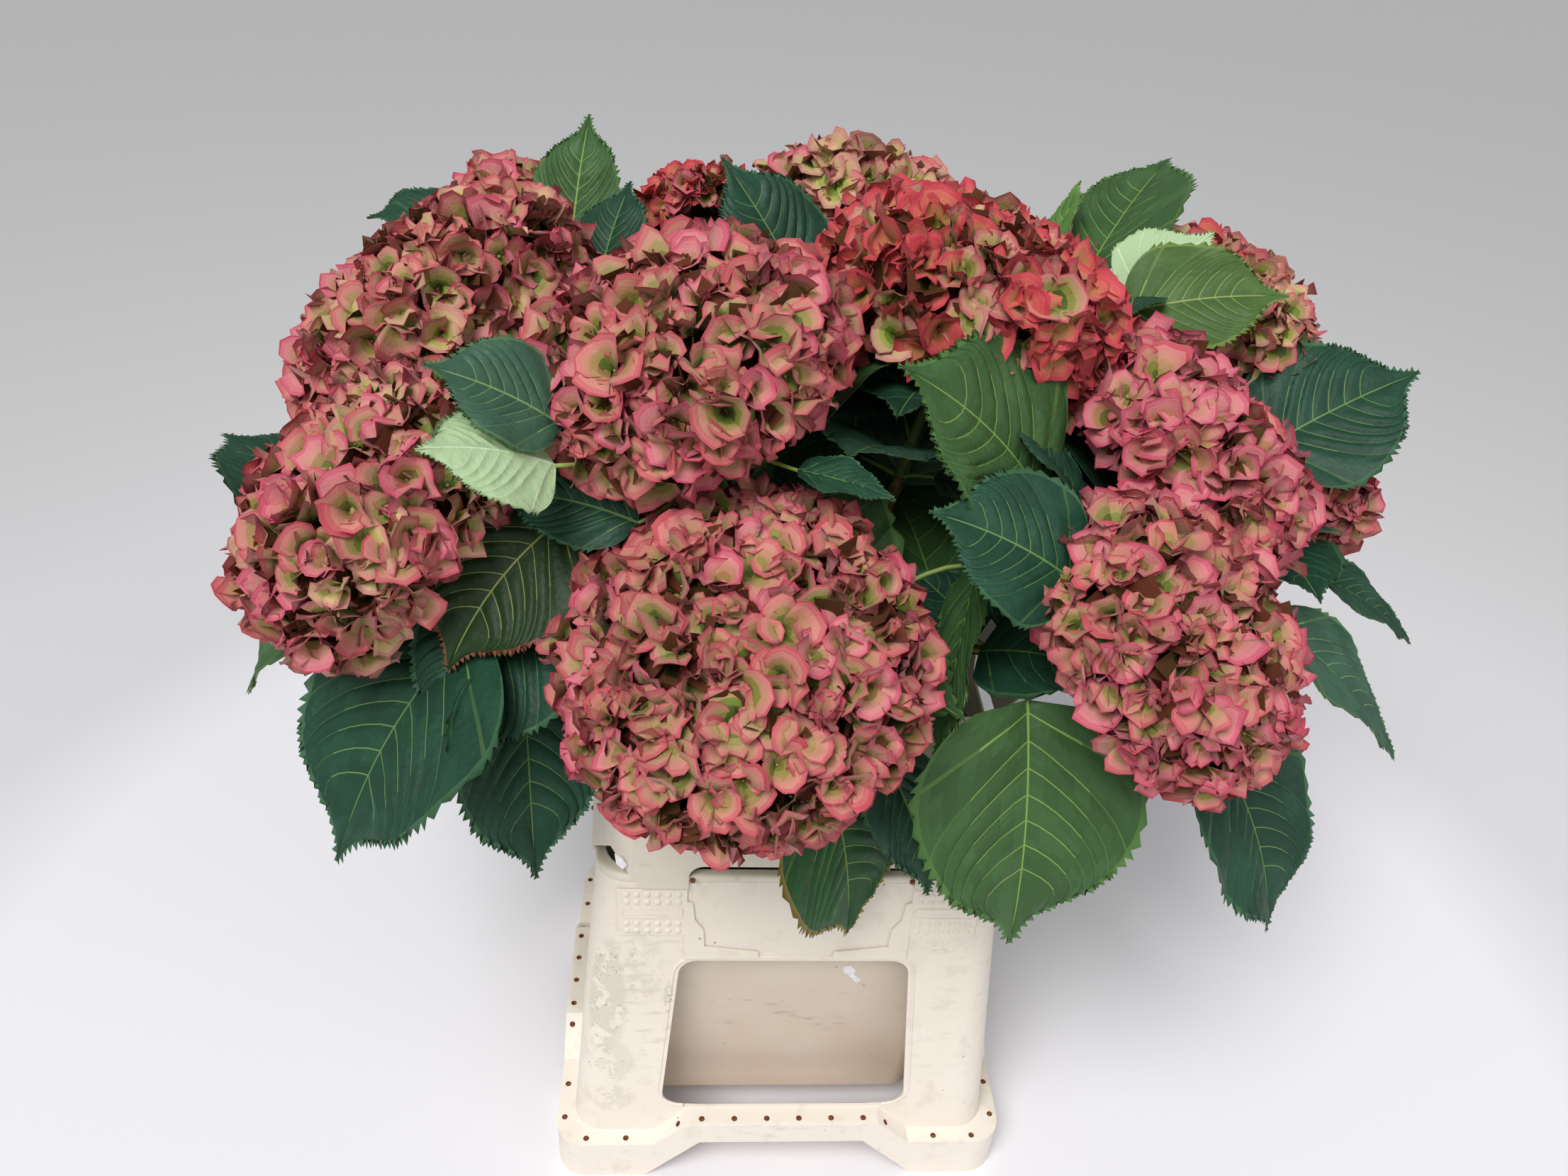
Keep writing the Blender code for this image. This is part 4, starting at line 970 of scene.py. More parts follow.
def stem_surface(route, radii, chance, node_step):
    """A stem with leaf nodes, fine ridges and small knobs, drawn as a tube with relief."""
    points, total = fine_route(route, 4 * MM)
    nodes = [node_step * (k + 0.5 + chance.uniform(-0.15, 0.15)) for k in range(int(total / node_step) + 1)]
    sides = 14
    thick = [radii[0] + (radii[1] - radii[0]) * k / (len(points) - 1) for k in range(len(points))]
    thick = [r * (1 + swelling(total * k / (len(points) - 1), nodes)) for k, r in enumerate(thick)]
    rings = tube_points(points, thick, sides)
    centres = np.array([p[:] for p in points])[:, None, :]
    ridge = 1 + 0.035 * np.sin(np.arange(sides) * 2 * math.pi * 5 / sides)[None, :, None]
    knob = np.array([[chance.gauss(0, 0.018) for _ in range(sides)] for _ in points])[:, :, None]
    rings = centres + (rings - centres) * (ridge + knob)
    surface = Surface()
    surface.add(rings, tube_faces(len(points), sides), 0)
    return surface


# Materials of the plants

def foliage_materials():
    """Sepal, bud, stalk and core colours in one list, in the order of their slots."""
    listed = []
    for kind, stops in SEPALS.items():
        for band in range(SEPAL_BANDS):
            # papery late-summer sepals: matt, finely wrinkled, with a faint silky bloom; the shade kind is painted
            # shade, dull and without sheen
            place = (band + 0.5) / SEPAL_BANDS * (len(stops) - 1)
            colour = between(stops[int(place)], stops[int(place) + 1], place % 1)
            shaded = kind == "shade"
            listed.append(plain(f"papery_sepal_{kind}_{band}", colour, 0.62, 0.0 if shaded else 0.08,
                                0.05 if shaded else 0.35,
                                wrinkle=(1.5 * MM, 0.4 * MM)))
    listed.append(plain("flower_bud", linear("#B59A62"), 0.6))
    listed.append(plain("flower_stalk_green", linear("#86954A"), 0.55))
    # painted shade: the dark brown of the heads' insides
    listed.append(plain("painted_shade_flower_core", linear("#2E2410"), 0.9, specular=0.1))
    return listed


def leaf_materials():
    listed = []
    roughness = (0.50, 0.53, 0.48, 0.52, 0.55, 0.65, 0.65, 0.50)
    for kind, colours in LEAF_KINDS.items():
        # a side vein fades into the blade on its way to the margin
        shades = [linear(colour) for colour in colours] + [between(colours[0], colours[3], 0.28)]
        for part, colour, rough in zip(LEAF_PARTS, shades, roughness):
            # thick leathery leaves with a puckered skin: satin on top, matt and pale below
            listed.append(plain(f"leathery_leaf_{kind}_{part}", colour, rough, specular=0.24,
                                wrinkle=(4.5 * MM, 0.9 * MM)))
    return listed


def bark_material():
    """Cut shrub stems: green rind with brown cork streaks that lie along the stem."""
    made, tree, shader = new_material("green_brown_stem_rind")
    place = add_node(tree, "TexCoord")
    stretched = add_node(tree, "Mapping", {"Vector": place.outputs["Object"], "Scale": (1, 1, 0.16)})
    streaks = add_node(tree, "TexNoise", {"Vector": stretched.outputs[0], "Scale": 1 / (3 * MM), "Detail": 4})
    tone = add_node(tree, "ValToRGB", {"Fac": streaks.outputs["Fac"]})
    tone.color_ramp.elements[0].color = linear("#4A2E14")
    tone.color_ramp.elements[0].position = 0.34
    tone.color_ramp.elements[1].color = linear("#8C6A30")
    tone.color_ramp.elements[1].position = 0.62
    bump = add_node(tree, "Bump", {"Height": streaks.outputs["Fac"], "Strength": 0.4, "Distance": 0.4 * MM})
    tree.links.new(tone.outputs["Color"], shader.inputs["Base Color"])
    tree.links.new(bump.outputs["Normal"], shader.inputs["Normal"])
    shader.inputs["Roughness"].default_value = 0.6
    return made


def finish_piece(piece, slot, *nodes):
    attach(piece, "root")
    if nodes:
        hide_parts(*nodes)
    return piece


def plants():
    """Every stem with its leaves and bloom."""
    plan = stem_plan()
    kinds = list(LEAF_KINDS)
    leaf_list = leaf_materials()
    sepal_list = foliage_materials()
    rind = bark_material()
    shoot = [plain("green_shoot", linear("#5E7A35"), 0.5), plain("leaf_stalk", linear("#8AA04C"), 0.5)]
    shown = {name: [] for name in plan}
    taken = []
    for carrier, foot, azimuth, rise, length, width, droop, roll, kind in LEAVES:
        leaf = Leaf(carrier, Vector(foot) * MM, math.radians(azimuth), math.radians(rise), length * MM, width,
                    math.radians(droop), math.radians(roll), kind)
        shown[carrier].append(settled(leaf, taken))
    leaf_trees = []
    for name, bloom in plan.items():
        chance = random.Random(40 + int(name))
        blades = Surface()
        twigs = Surface()
        placed = [(leaf, nearest_on(bloom["leafy"], leaf.foot), FINE_LEAF) for leaf in shown[name]]
        placed += [(leaf, node, SMALL_LEAF) for leaf, node in inner_leaves(name, bloom, plan, taken, chance)]
        for leaf, node, grid in placed:
            leaf_blade(blades, grid, kinds.index(leaf.kind) * len(LEAF_PARTS), leaf, chance)
            forward = Vector((math.cos(leaf.azimuth), math.sin(leaf.azimuth), math.tan(leaf.rise))).normalized()
            petiole(twigs, 1, node, leaf.foot, forward, leaf.length)
        leafy = stem_surface(bloom["leafy"] + bloom["peduncle"][1:], (STEM_RADIUS[1] * 1.1, STEM_RADIUS[1] * 0.9),
                             chance, 38 * MM)
        twigs.add(leafy.all_points(), np.concatenate(leafy.faces), 0)
        stem = stem_surface(bloom["woody"], STEM_RADIUS, chance, 62 * MM).build("cut_stem_" + name, [rind])
        finish_piece(stem, "stem", "stem_" + name)
        finish_piece(twigs.build("leafy_shoot_" + name, shoot), "stem", "leaves_" + name)
        finish_piece(blades.build("leaf_blades_" + name, leaf_list), "leaf", "leaves_" + name)
        leaf_trees.append(surface_tree(blades))
    for name, bloom in plan.items():
        finish_piece(bloom_mesh(name, bloom, plan, leaf_trees, sepal_list), "bloom", "bloom_" + name)


# Crate

def clear_selection():
    """Leave edit mode and deselect everything, because an operator acts on all that is selected."""
    if bpy.context.mode != "OBJECT":
        bpy.ops.object.mode_set(mode="OBJECT")
    bpy.ops.object.select_all(action="DESELECT")


def block(name, low, high):
    """A box between two corners, as the start of a piece."""
    clear_selection()
    bpy.ops.mesh.primitive_cube_add(size=1, location=[(a + b) / 2 for a, b in zip(low, high)])
    made = bpy.context.object
    made.name = name
    made.scale = [b - a for a, b in zip(low, high)]
    bpy.ops.object.transform_apply(location=True, rotation=False, scale=True)
    return made


def pick(piece, kind, test):
    """In edit mode, select only the faces, edges or points that pass the test."""
    bpy.context.view_layer.objects.active = piece
    if bpy.context.mode != "EDIT_MESH":
        bpy.ops.object.mode_set(mode="EDIT")
    bpy.ops.mesh.select_mode(type=kind)
    bpy.ops.mesh.select_all(action="DESELECT")
    shape = bmesh.from_edit_mesh(piece.data)
    for item in {"FACE": shape.faces, "EDGE": shape.edges, "VERT": shape.verts}[kind]:
        if test(item):
            item.select_set(True)
    shape.select_flush_mode()
    bmesh.update_edit_mesh(piece.data)


def place_picked(piece, rule):
    """Move each selected point to where the rule puts it."""
    shape = bmesh.from_edit_mesh(piece.data)
    for corner in shape.verts:
        if corner.select:
            corner.co = rule(corner.co)
    bmesh.update_edit_mesh(piece.data)


def upright(edge):
    a, b = (corner.co for corner in edge.verts)
    return abs(a.z - b.z) > 0.9 * (a - b).length


def apply_steps(piece):
    """Apply all of a piece's modifiers in their order."""
    clear_selection()
    piece.select_set(True)
    bpy.context.view_layer.objects.active = piece
    for step in list(piece.modifiers):
        bpy.ops.object.modifier_apply(modifier=step.name)


def thicken(piece, thickness):
    """Give a shell its wall, inward from its outer skin."""
    step = piece.modifiers.new("wall", "SOLIDIFY")
    step.thickness = thickness
    step.offset = -1
    step.use_even_offset = True
    apply_steps(piece)


def carve(piece, tool):
    """Cut the tool out of the piece; the cut faces take the tool's material."""
    step = piece.modifiers.new("cut", "BOOLEAN")
    step.operation = "DIFFERENCE"
    step.solver = "EXACT"
    step.material_mode = "TRANSFER" if tool.data.materials else "INDEX"
    step.object = tool
    apply_steps(piece)
    bpy.data.objects.remove(tool)


def soften(piece, width, segments=2, limit=32):
    """Round the moulded edges and shade the flats as flats."""
    step = piece.modifiers.new("moulded_edges", "BEVEL")
    step.width = width
    step.segments = segments
    step.limit_method = "ANGLE"
    step.angle_limit = math.radians(limit)
    step.use_clamp_overlap = True
    apply_steps(piece)
    bpy.ops.object.shade_smooth_by_angle(angle=math.radians(limit + 8))
    piece.modifiers.new("flats", "WEIGHTED_NORMAL").keep_sharp = True
    apply_steps(piece)


def joined(name, pieces):
    """Several meshes as one object."""
    clear_selection()
    for piece in pieces:
        piece.select_set(True)
    bpy.context.view_layer.objects.active = pieces[0]
    bpy.ops.object.join()
    pieces[0].name = name
    return pieces[0]


def copied(piece, change):
    """A copy with a mesh of its own, moved by a matrix; a mirrored copy keeps its faces outward."""
    made = piece.copy()
    made.data = piece.data.copy()
    bpy.context.scene.collection.objects.link(made)
    made.data.transform(change)
    if change.determinant() < 0:
        made.data.flip_normals()
    return made


def slope_share(distance, foot, top):
    """0 outside the foot of a slope, 1 inside its top."""
    return min(1.0, max(0.0, (foot - abs(distance)) / (foot - top)))


def skirt_heights(place):
    """Heights of the ledge and of the arch under it, at a place on the skirt."""
    front = abs(place.y) > BASE_HALF[1] - MM
    bends = FRONT_BENDS if front else SIDE_BENDS
    along = place.x if front else place.y
    ledge = slope_share(along, bends["ledge_foot"], bends["ledge_top"])
    arch = slope_share(along, bends["arch_foot"], bends["arch_top"])
    return LEDGE_LOW + ledge * (LEDGE_HIGH - LEDGE_LOW), arch * ARCH_TOP


def inward(place, distance, half, radius):
    """A point of a rounded rectangle, moved in by a distance with its corner's radius kept."""
    moved = place.copy()
    for axis in (0, 1):
        if abs(place[axis]) > half[axis] - radius - 0.1 * MM:
            moved[axis] -= math.copysign(distance, place[axis])
    return moved


def wall_inset(z):
    """How far the outer frame's wall lies inside the skirt at a height."""
    return LEDGE_WIDTH + (z - LEDGE_LOW) * WALL_SLOPE


def rounded_prism(name, halves, heights, radii, reach, along_x):
    """A prism with rounded corners that goes through two opposite walls, to cut an opening."""
    tool = block(name, (-halves[0], -reach, heights[0]), (halves[0], reach, heights[1]))
    pick(tool, "VERT", lambda corner: corner.co.z > heights[1] - MM)
    place_picked(tool, lambda place: Vector((math.copysign(halves[1], place.x), place.y, place.z)))
    for height, radius in zip(heights, radii):
        pick(tool, "EDGE", lambda edge: all(abs(c.co.z - height) < MM for c in edge.verts)
             and abs(edge.verts[0].co.x - edge.verts[1].co.x) < MM)
        bpy.ops.mesh.bevel(offset=radius, segments=7, affect="EDGES")
    bpy.ops.object.mode_set(mode="OBJECT")
    if along_x:
        tool.data.transform(Matrix.Rotation(math.pi / 2, 4, "Z"))
    return tool


def outer_frame():
    """The skirt with its arches, the ledge that steps over them and the leaning wall with its windows."""
    frame = block("crate_outer_shell", (-BASE_HALF[0], -BASE_HALF[1], 0), (*BASE_HALF, LEDGE_LOW))
    pick(frame, "EDGE", upright)
    bpy.ops.mesh.bevel(offset=BASE_RADIUS, segments=9, affect="EDGES")
    pick(frame, "FACE", lambda face: abs(face.normal.z) > 0.9)
    bpy.ops.mesh.delete(type="ONLY_FACE")
    for axis, bends in ((0, FRONT_BENDS), (1, SIDE_BENDS)):
        across = Vector([float(k == axis) for k in range(3)])
        for place in bends.values():
            for sign in (-1, 1):
                pick(frame, "FACE", lambda face: abs(face.normal[1 - axis]) > 0.9)
                bpy.ops.mesh.bisect(plane_co=across * sign * place, plane_no=across)
    pick(frame, "VERT", lambda corner: True)
    place_picked(frame, lambda place: Vector((place.x, place.y, skirt_heights(place)[place.z < LEDGE_LOW / 2])))
    pick(frame, "EDGE", lambda edge: edge.is_boundary and all(c.co.z > LEDGE_LOW - MM for c in edge.verts)
         and sum(c.co.z - skirt_heights(c.co)[1] for c in edge.verts) > 0.03)
    bpy.ops.mesh.extrude_region_move()
    place_picked(frame, lambda place: inward(place, wall_inset(place.z), BASE_HALF, BASE_RADIUS))
    bpy.ops.mesh.extrude_region_move()

    def to_rim(place):
        rise = Vector((place.x, place.y, FRAME_TOP))
        shrunk = [half - wall_inset(place.z) for half in BASE_HALF]
        return inward(rise, RIM_INSET - wall_inset(place.z), shrunk, BASE_RADIUS)

    place_picked(frame, to_rim)
    bpy.ops.object.mode_set(mode="OBJECT")
    thicken(frame, WALL)
    for halves, along_x in ((FRONT_WINDOW_HALF, False), (SIDE_WINDOW_HALF, True)):
        carve(frame, rounded_prism("window_tool", halves, (WINDOW_FOOT, WINDOW_TOP), WINDOW_RADII, 0.2, along_x))
    soften(frame, 1.1 * MM)
    return frame


def ledge_holes(places, size):
    """Round pins that sink blind holes in the ledge."""
    pins = []
    for place, tilt in places:
        clear_selection()
        bpy.ops.mesh.primitive_cylinder_add(vertices=16, radius=size / 2, depth=2 * HOLE_DEPTH, location=place,
                                            rotation=tilt)
        bpy.ops.object.transform_apply()
        pins.append(bpy.context.object)
    return joined("ledge_hole_tool", pins)


def hole_places():
    """Where the small holes lie round the ledge, and how far each is tilted."""
    places = []
    slope = math.atan2(LEDGE_HIGH - LEDGE_LOW, FRONT_BENDS["ledge_foot"] - FRONT_BENDS["ledge_top"])
    for sign in (-1, 1):
        for along, raised, sloped, low in ((0, FRONT_HOLES, FRONT_SLOPE_HOLE, FRONT_LOW_HOLES),
                                           (1, SIDE_HOLES, SIDE_SLOPE_HOLE, SIDE_LOW_HOLES)):
            away = sign * (BASE_HALF[1 - along] - HOLE_INSET)
            spots = [(spot, LEDGE_HIGH, 0) for spot in raised] + [(spot, LEDGE_LOW, 0) for spot in low]
            spots.append((sloped, LEDGE_LOW + (LEDGE_HIGH - LEDGE_LOW) * 0.74, slope))
            for spot, height, lean in spots:
                for hand in (-1, 1):
                    if along == 0:
                        places.append(((hand * spot, away, height), (0, hand * lean, 0)))
                    else:
                        places.append(((away, hand * spot, height), (-hand * lean, 0, 0)))
    return places


def bucket():
    """The inner bucket with the crate's rim, drawn up from its foot and down again inside."""
    shell = block("crate_inner_shell", (-0.101, -0.077, BUCKET_FOOT), (0.101, 0.077, BUCKET_FOOT + 4 * MM))
    pick(shell, "EDGE", upright)
    bpy.ops.mesh.bevel(offset=17 * MM, segments=9, affect="EDGES")
    pick(shell, "FACE", lambda face: face.normal.z > 0.9)
    place_picked(shell, lambda place: Vector((place.x * 1.069, place.y * 1.09, 29 * MM)))
    half = (108 * MM, 84 * MM)
    for high_half, height in BUCKET_RISE:
        bpy.ops.mesh.extrude_region_move()
        grow = [high_half[k] * MM / half[k] for k in (0, 1)]
        place_picked(shell, lambda place: Vector((place.x * grow[0], place.y * grow[1], height * MM)))
        half = [side * MM for side in high_half]
    bpy.ops.object.mode_set(mode="OBJECT")
    soften(shell, 1.0 * MM, limit=20)
    return shell


def collar():
    """One sheet folded round the rim, with chamfered corners that are cut short at their foot."""
    sheet = block("folded_collar", (-COLLAR_HALF[0], -COLLAR_HALF[1], COLLAR_FOOT), (*COLLAR_HALF, COLLAR_TOP))
    pick(sheet, "EDGE", upright)
    bpy.ops.mesh.bevel(offset=COLLAR_CHAMFER, segments=2, profile=0.25, affect="EDGES")
    pick(sheet, "FACE", lambda face: abs(face.normal.z) > 0.9)
    bpy.ops.mesh.delete(type="ONLY_FACE")
    for axis in (0, 1):
        across = Vector([float(k == axis) for k in range(3)])
        for sign in (-1, 1):
            pick(sheet, "FACE", lambda face: abs(face.normal[1 - axis]) > 0.9)
            bpy.ops.mesh.bisect(plane_co=across * sign * (COLLAR_HALF[axis] - COLLAR_CHAMFER - COLLAR_TAB_END),
                                plane_no=across)

    def sheet_place(place):
        if place.z > (COLLAR_FOOT + COLLAR_TOP) / 2:
            return inward(place, COLLAR_LEAN, COLLAR_HALF, COLLAR_CHAMFER)
        short = [COLLAR_HALF[k] - abs(place[k]) for k in (0, 1)]
        if max(short) < COLLAR_CHAMFER * 0.8:
            return Vector((place.x, place.y, COLLAR_CORNER_FOOT[1]))
        if max(short) < COLLAR_CHAMFER + MM:
            return Vector((place.x, place.y, COLLAR_CORNER_FOOT[0]))
        return place

    pick(sheet, "VERT", lambda corner: True)
    place_picked(sheet, sheet_place)
    bpy.ops.object.mode_set(mode="OBJECT")
    thicken(sheet, COLLAR_WALL)
    for k, along_x in ((0, False), (1, True)):
        low = (FRONT_SLOT_HALF, SIDE_SLOT_HALF)[k]
        carve(sheet, rounded_prism("hand_slot_tool", (low[1], low[1]), HAND_SLOT, (SLOT_RADIUS,) * 2, 0.2, along_x))
        carve(sheet, rounded_prism("low_slot_tool", (low[0], low[0]), (COLLAR_FOOT - 30 * MM, LOW_SLOT_TOP),
                                   (MM, SLOT_RADIUS), 0.2, along_x))
    soften(sheet, 0.5 * MM, limit=25)
    return sheet


def wall_front(z):
    """Where the front wall's skin lies at a height."""
    return -(BASE_HALF[1] - wall_inset(z))


def raised_plate(name, outline, depth):
    """A flat plate on the front wall, extruded from its outline of places across and up."""
    shape = bpy.data.meshes.new(name)
    shape.from_pydata([(x * MM, 0, z * MM) for x, z in outline], [], [range(len(outline))])
    made = bpy.data.objects.new(name, shape)
    bpy.context.scene.collection.objects.link(made)
    pick(made, "FACE", lambda face: True)
    bpy.ops.mesh.extrude_region_move(TRANSFORM_OT_translate={"value": (0, -depth, 0)})
    bpy.ops.mesh.select_all(action="SELECT")
    bpy.ops.mesh.normals_make_consistent(inside=False)
    bpy.ops.object.mode_set(mode="OBJECT")
    return made


def dot_plate():
    """A pad with rows of small domes above and below a plain rounded frame."""
    x0, x1, z0, z1 = DOT_PLATE
    pad = raised_plate("dot_plate", ((x0, z0), (x1, z0), (x1, z1), (x0, z1)), 0.7 * MM)
    pad.modifiers.new("edges", "BEVEL").width = 0.5 * MM
    apply_steps(pad)
    label = block("blank_label", ((x0 + 3) * MM, -1.4 * MM, 263.0 * MM), ((x1 - 3) * MM, 0, 271.8 * MM))
    pick(label, "EDGE", lambda edge: abs(edge.verts[0].co.y - edge.verts[1].co.y) > 1.0 * MM)
    bpy.ops.mesh.bevel(offset=2.4 * MM, segments=4, affect="EDGES")
    pick(label, "FACE", lambda face: face.normal.y < -0.9)
    bpy.ops.mesh.inset(thickness=0.6 * MM)
    bpy.ops.mesh.extrude_region_move(TRANSFORM_OT_translate={"value": (0, 0.4 * MM, 0)})
    pieces = [pad, label]
    clear_selection()
    bpy.ops.mesh.primitive_uv_sphere_add(segments=12, ring_count=8, radius=DOT_SIZE / 2)
    dome = bpy.context.object
    dome.scale.y = 0.5
    bpy.ops.object.transform_apply()
    pick(dome, "FACE", lambda face: True)
    bpy.ops.mesh.bisect(plane_co=(0, 0, 0), plane_no=(0, 1, 0), clear_outer=True)
    bpy.ops.object.mode_set(mode="OBJECT")
    bpy.ops.object.shade_smooth()
    for z in DOT_ROWS:
        for column in range(6):
            x = (x0 + 6 + column * (x1 - x0 - 12) / 5) * MM
            pieces.append(copied(dome, Matrix.Translation((x, -0.65 * MM, z * MM))))
    bpy.data.objects.remove(dome)
    return joined("dot_plate", pieces)


def wall_details():
    """Dot plates and the stepped plates of the label pocket, alike on the front and the back wall."""
    pocket = raised_plate("label_pocket", LABEL_POCKET, 1.3 * MM)
    step = pocket.modifiers.new("edges", "BEVEL")
    step.width = 0.6 * MM
    step.segments = 2
    apply_steps(pocket)
    half = joined("wall_details", [pocket, dot_plate()])
    for corner in half.data.vertices:
        corner.co.y += wall_front(corner.co.z)
    turn = Matrix.Rotation(math.pi, 4, "Z")
    mirror = Matrix.Diagonal((-1, 1, 1, 1))
    copies = [copied(half, change) for change in (mirror, turn, turn @ mirror)]
    return joined("moulded_plates", [half] + copies)


def window_beads():
    """The thin raised bead that runs round each window."""
    beads = []
    for halves, along_x in ((FRONT_WINDOW_HALF, False), (SIDE_WINDOW_HALF, True)):
        grown = [half + BEAD_AWAY for half in halves]
        tool = rounded_prism("bead", grown, (WINDOW_FOOT + 2 * MM, WINDOW_TOP + BEAD_AWAY),
                             [radius + BEAD_AWAY for radius in WINDOW_RADII], 0.01, False)
        rim = max((face for face in tool.data.polygons if face.normal.y < -0.9), key=lambda face: face.area)
        route = [tool.data.vertices[i].co.copy() for i in rim.vertices]
        bpy.data.objects.remove(tool)
        low = min(point.z for point in route)
        start = next(i for i, p in enumerate(route) if p.z < low + MM and route[i - 1].z < low + MM)
        route = route[start:] + route[:start]
        away = BASE_HALF[0] - BASE_HALF[1] if along_x else 0.0
        for turn in (0, math.pi):
            line = bpy.data.curves.new("window_bead", "CURVE")
            line.dimensions = "3D"
            line.bevel_depth = 1.2 * MM
            line.bevel_resolution = 3
            line.use_fill_caps = True
            spline = line.splines.new("POLY")
            spline.points.add(len(route) - 1)
            for point, place in zip(spline.points, route):
                point.co = (place.x, wall_front(place.z) - away + 0.5 * MM, place.z, 1.0)
            bead = bpy.data.objects.new("window_bead", line)
            bpy.context.scene.collection.objects.link(bead)
            clear_selection()
            bead.select_set(True)
            bpy.context.view_layer.objects.active = bead
            bpy.ops.object.convert(target="MESH")
            bead = bpy.context.object
            bead.data.transform(Matrix.Rotation(turn + (math.pi / 2 if along_x else 0.0), 4, "Z"))
            bpy.ops.object.shade_smooth()
            beads.append(bead)
    return joined("window_beads", beads)


def rust_nubs(rust):
    """Small rusty studs on the rim at the ends of each low slot."""
    studs = []
    for sign in (-1, 1):
        for hand in (-1, 1):
            for place in ((sign * NUB_FRONT[0], hand * NUB_FRONT[1]), (sign * NUB_SIDE[0], hand * NUB_SIDE[1])):
                clear_selection()
                bpy.ops.mesh.primitive_cylinder_add(vertices=14, radius=1.9 * MM, depth=1.4 * MM,
                                                    location=(*place, CRATE_HEIGHT + 0.2 * MM))
                bpy.ops.object.transform_apply()
                stud = bpy.context.object
                pick(stud, "FACE", lambda face: face.normal.z > 0.9)
                bpy.ops.mesh.inset(thickness=0.6 * MM)
                bpy.ops.transform.translate(value=(0, 0, 0.5 * MM))
                bpy.ops.object.mode_set(mode="OBJECT")
                studs.append(stud)
    made = joined("rim_studs", studs)
    made.data.materials.append(rust)
    bpy.ops.object.shade_smooth_by_angle(angle=math.radians(40))
    return made


def paper_scraps(paper):
    """Torn bits of a white label that still stick to the collar and the bucket."""
    scraps = []
    for outline, plane in PAPER_SCRAPS:
        scrap = raised_plate("paper_scrap", outline, 0.35 * MM)
        for corner in scrap.data.vertices:
            corner.co.y += plane(corner.co.z)
        scraps.append(scrap)
    made = joined("paper_scraps", scraps)
    made.data.materials.append(paper)
    return made


# Materials of the crate

def patch(tree, place, centre, half):
    """1 inside an oval patch of the surface and 0 outside it, with a soft border; sizes in mm."""
    moved = add_node(tree, "VectorMath", {0: place, 1: [c * MM for c in centre]}, operation="SUBTRACT")
    scaled = add_node(tree, "VectorMath", {0: moved.outputs[0], 1: [1 / (h * MM) for h in half]},
                      operation="MULTIPLY")
    reach = add_node(tree, "VectorMath", {0: scaled.outputs[0]}, operation="LENGTH")
    made = add_node(tree, "MapRange", {"Value": reach.outputs["Value"], "From Min": 1.0, "From Max": 0.7})
    return made.outputs["Result"]


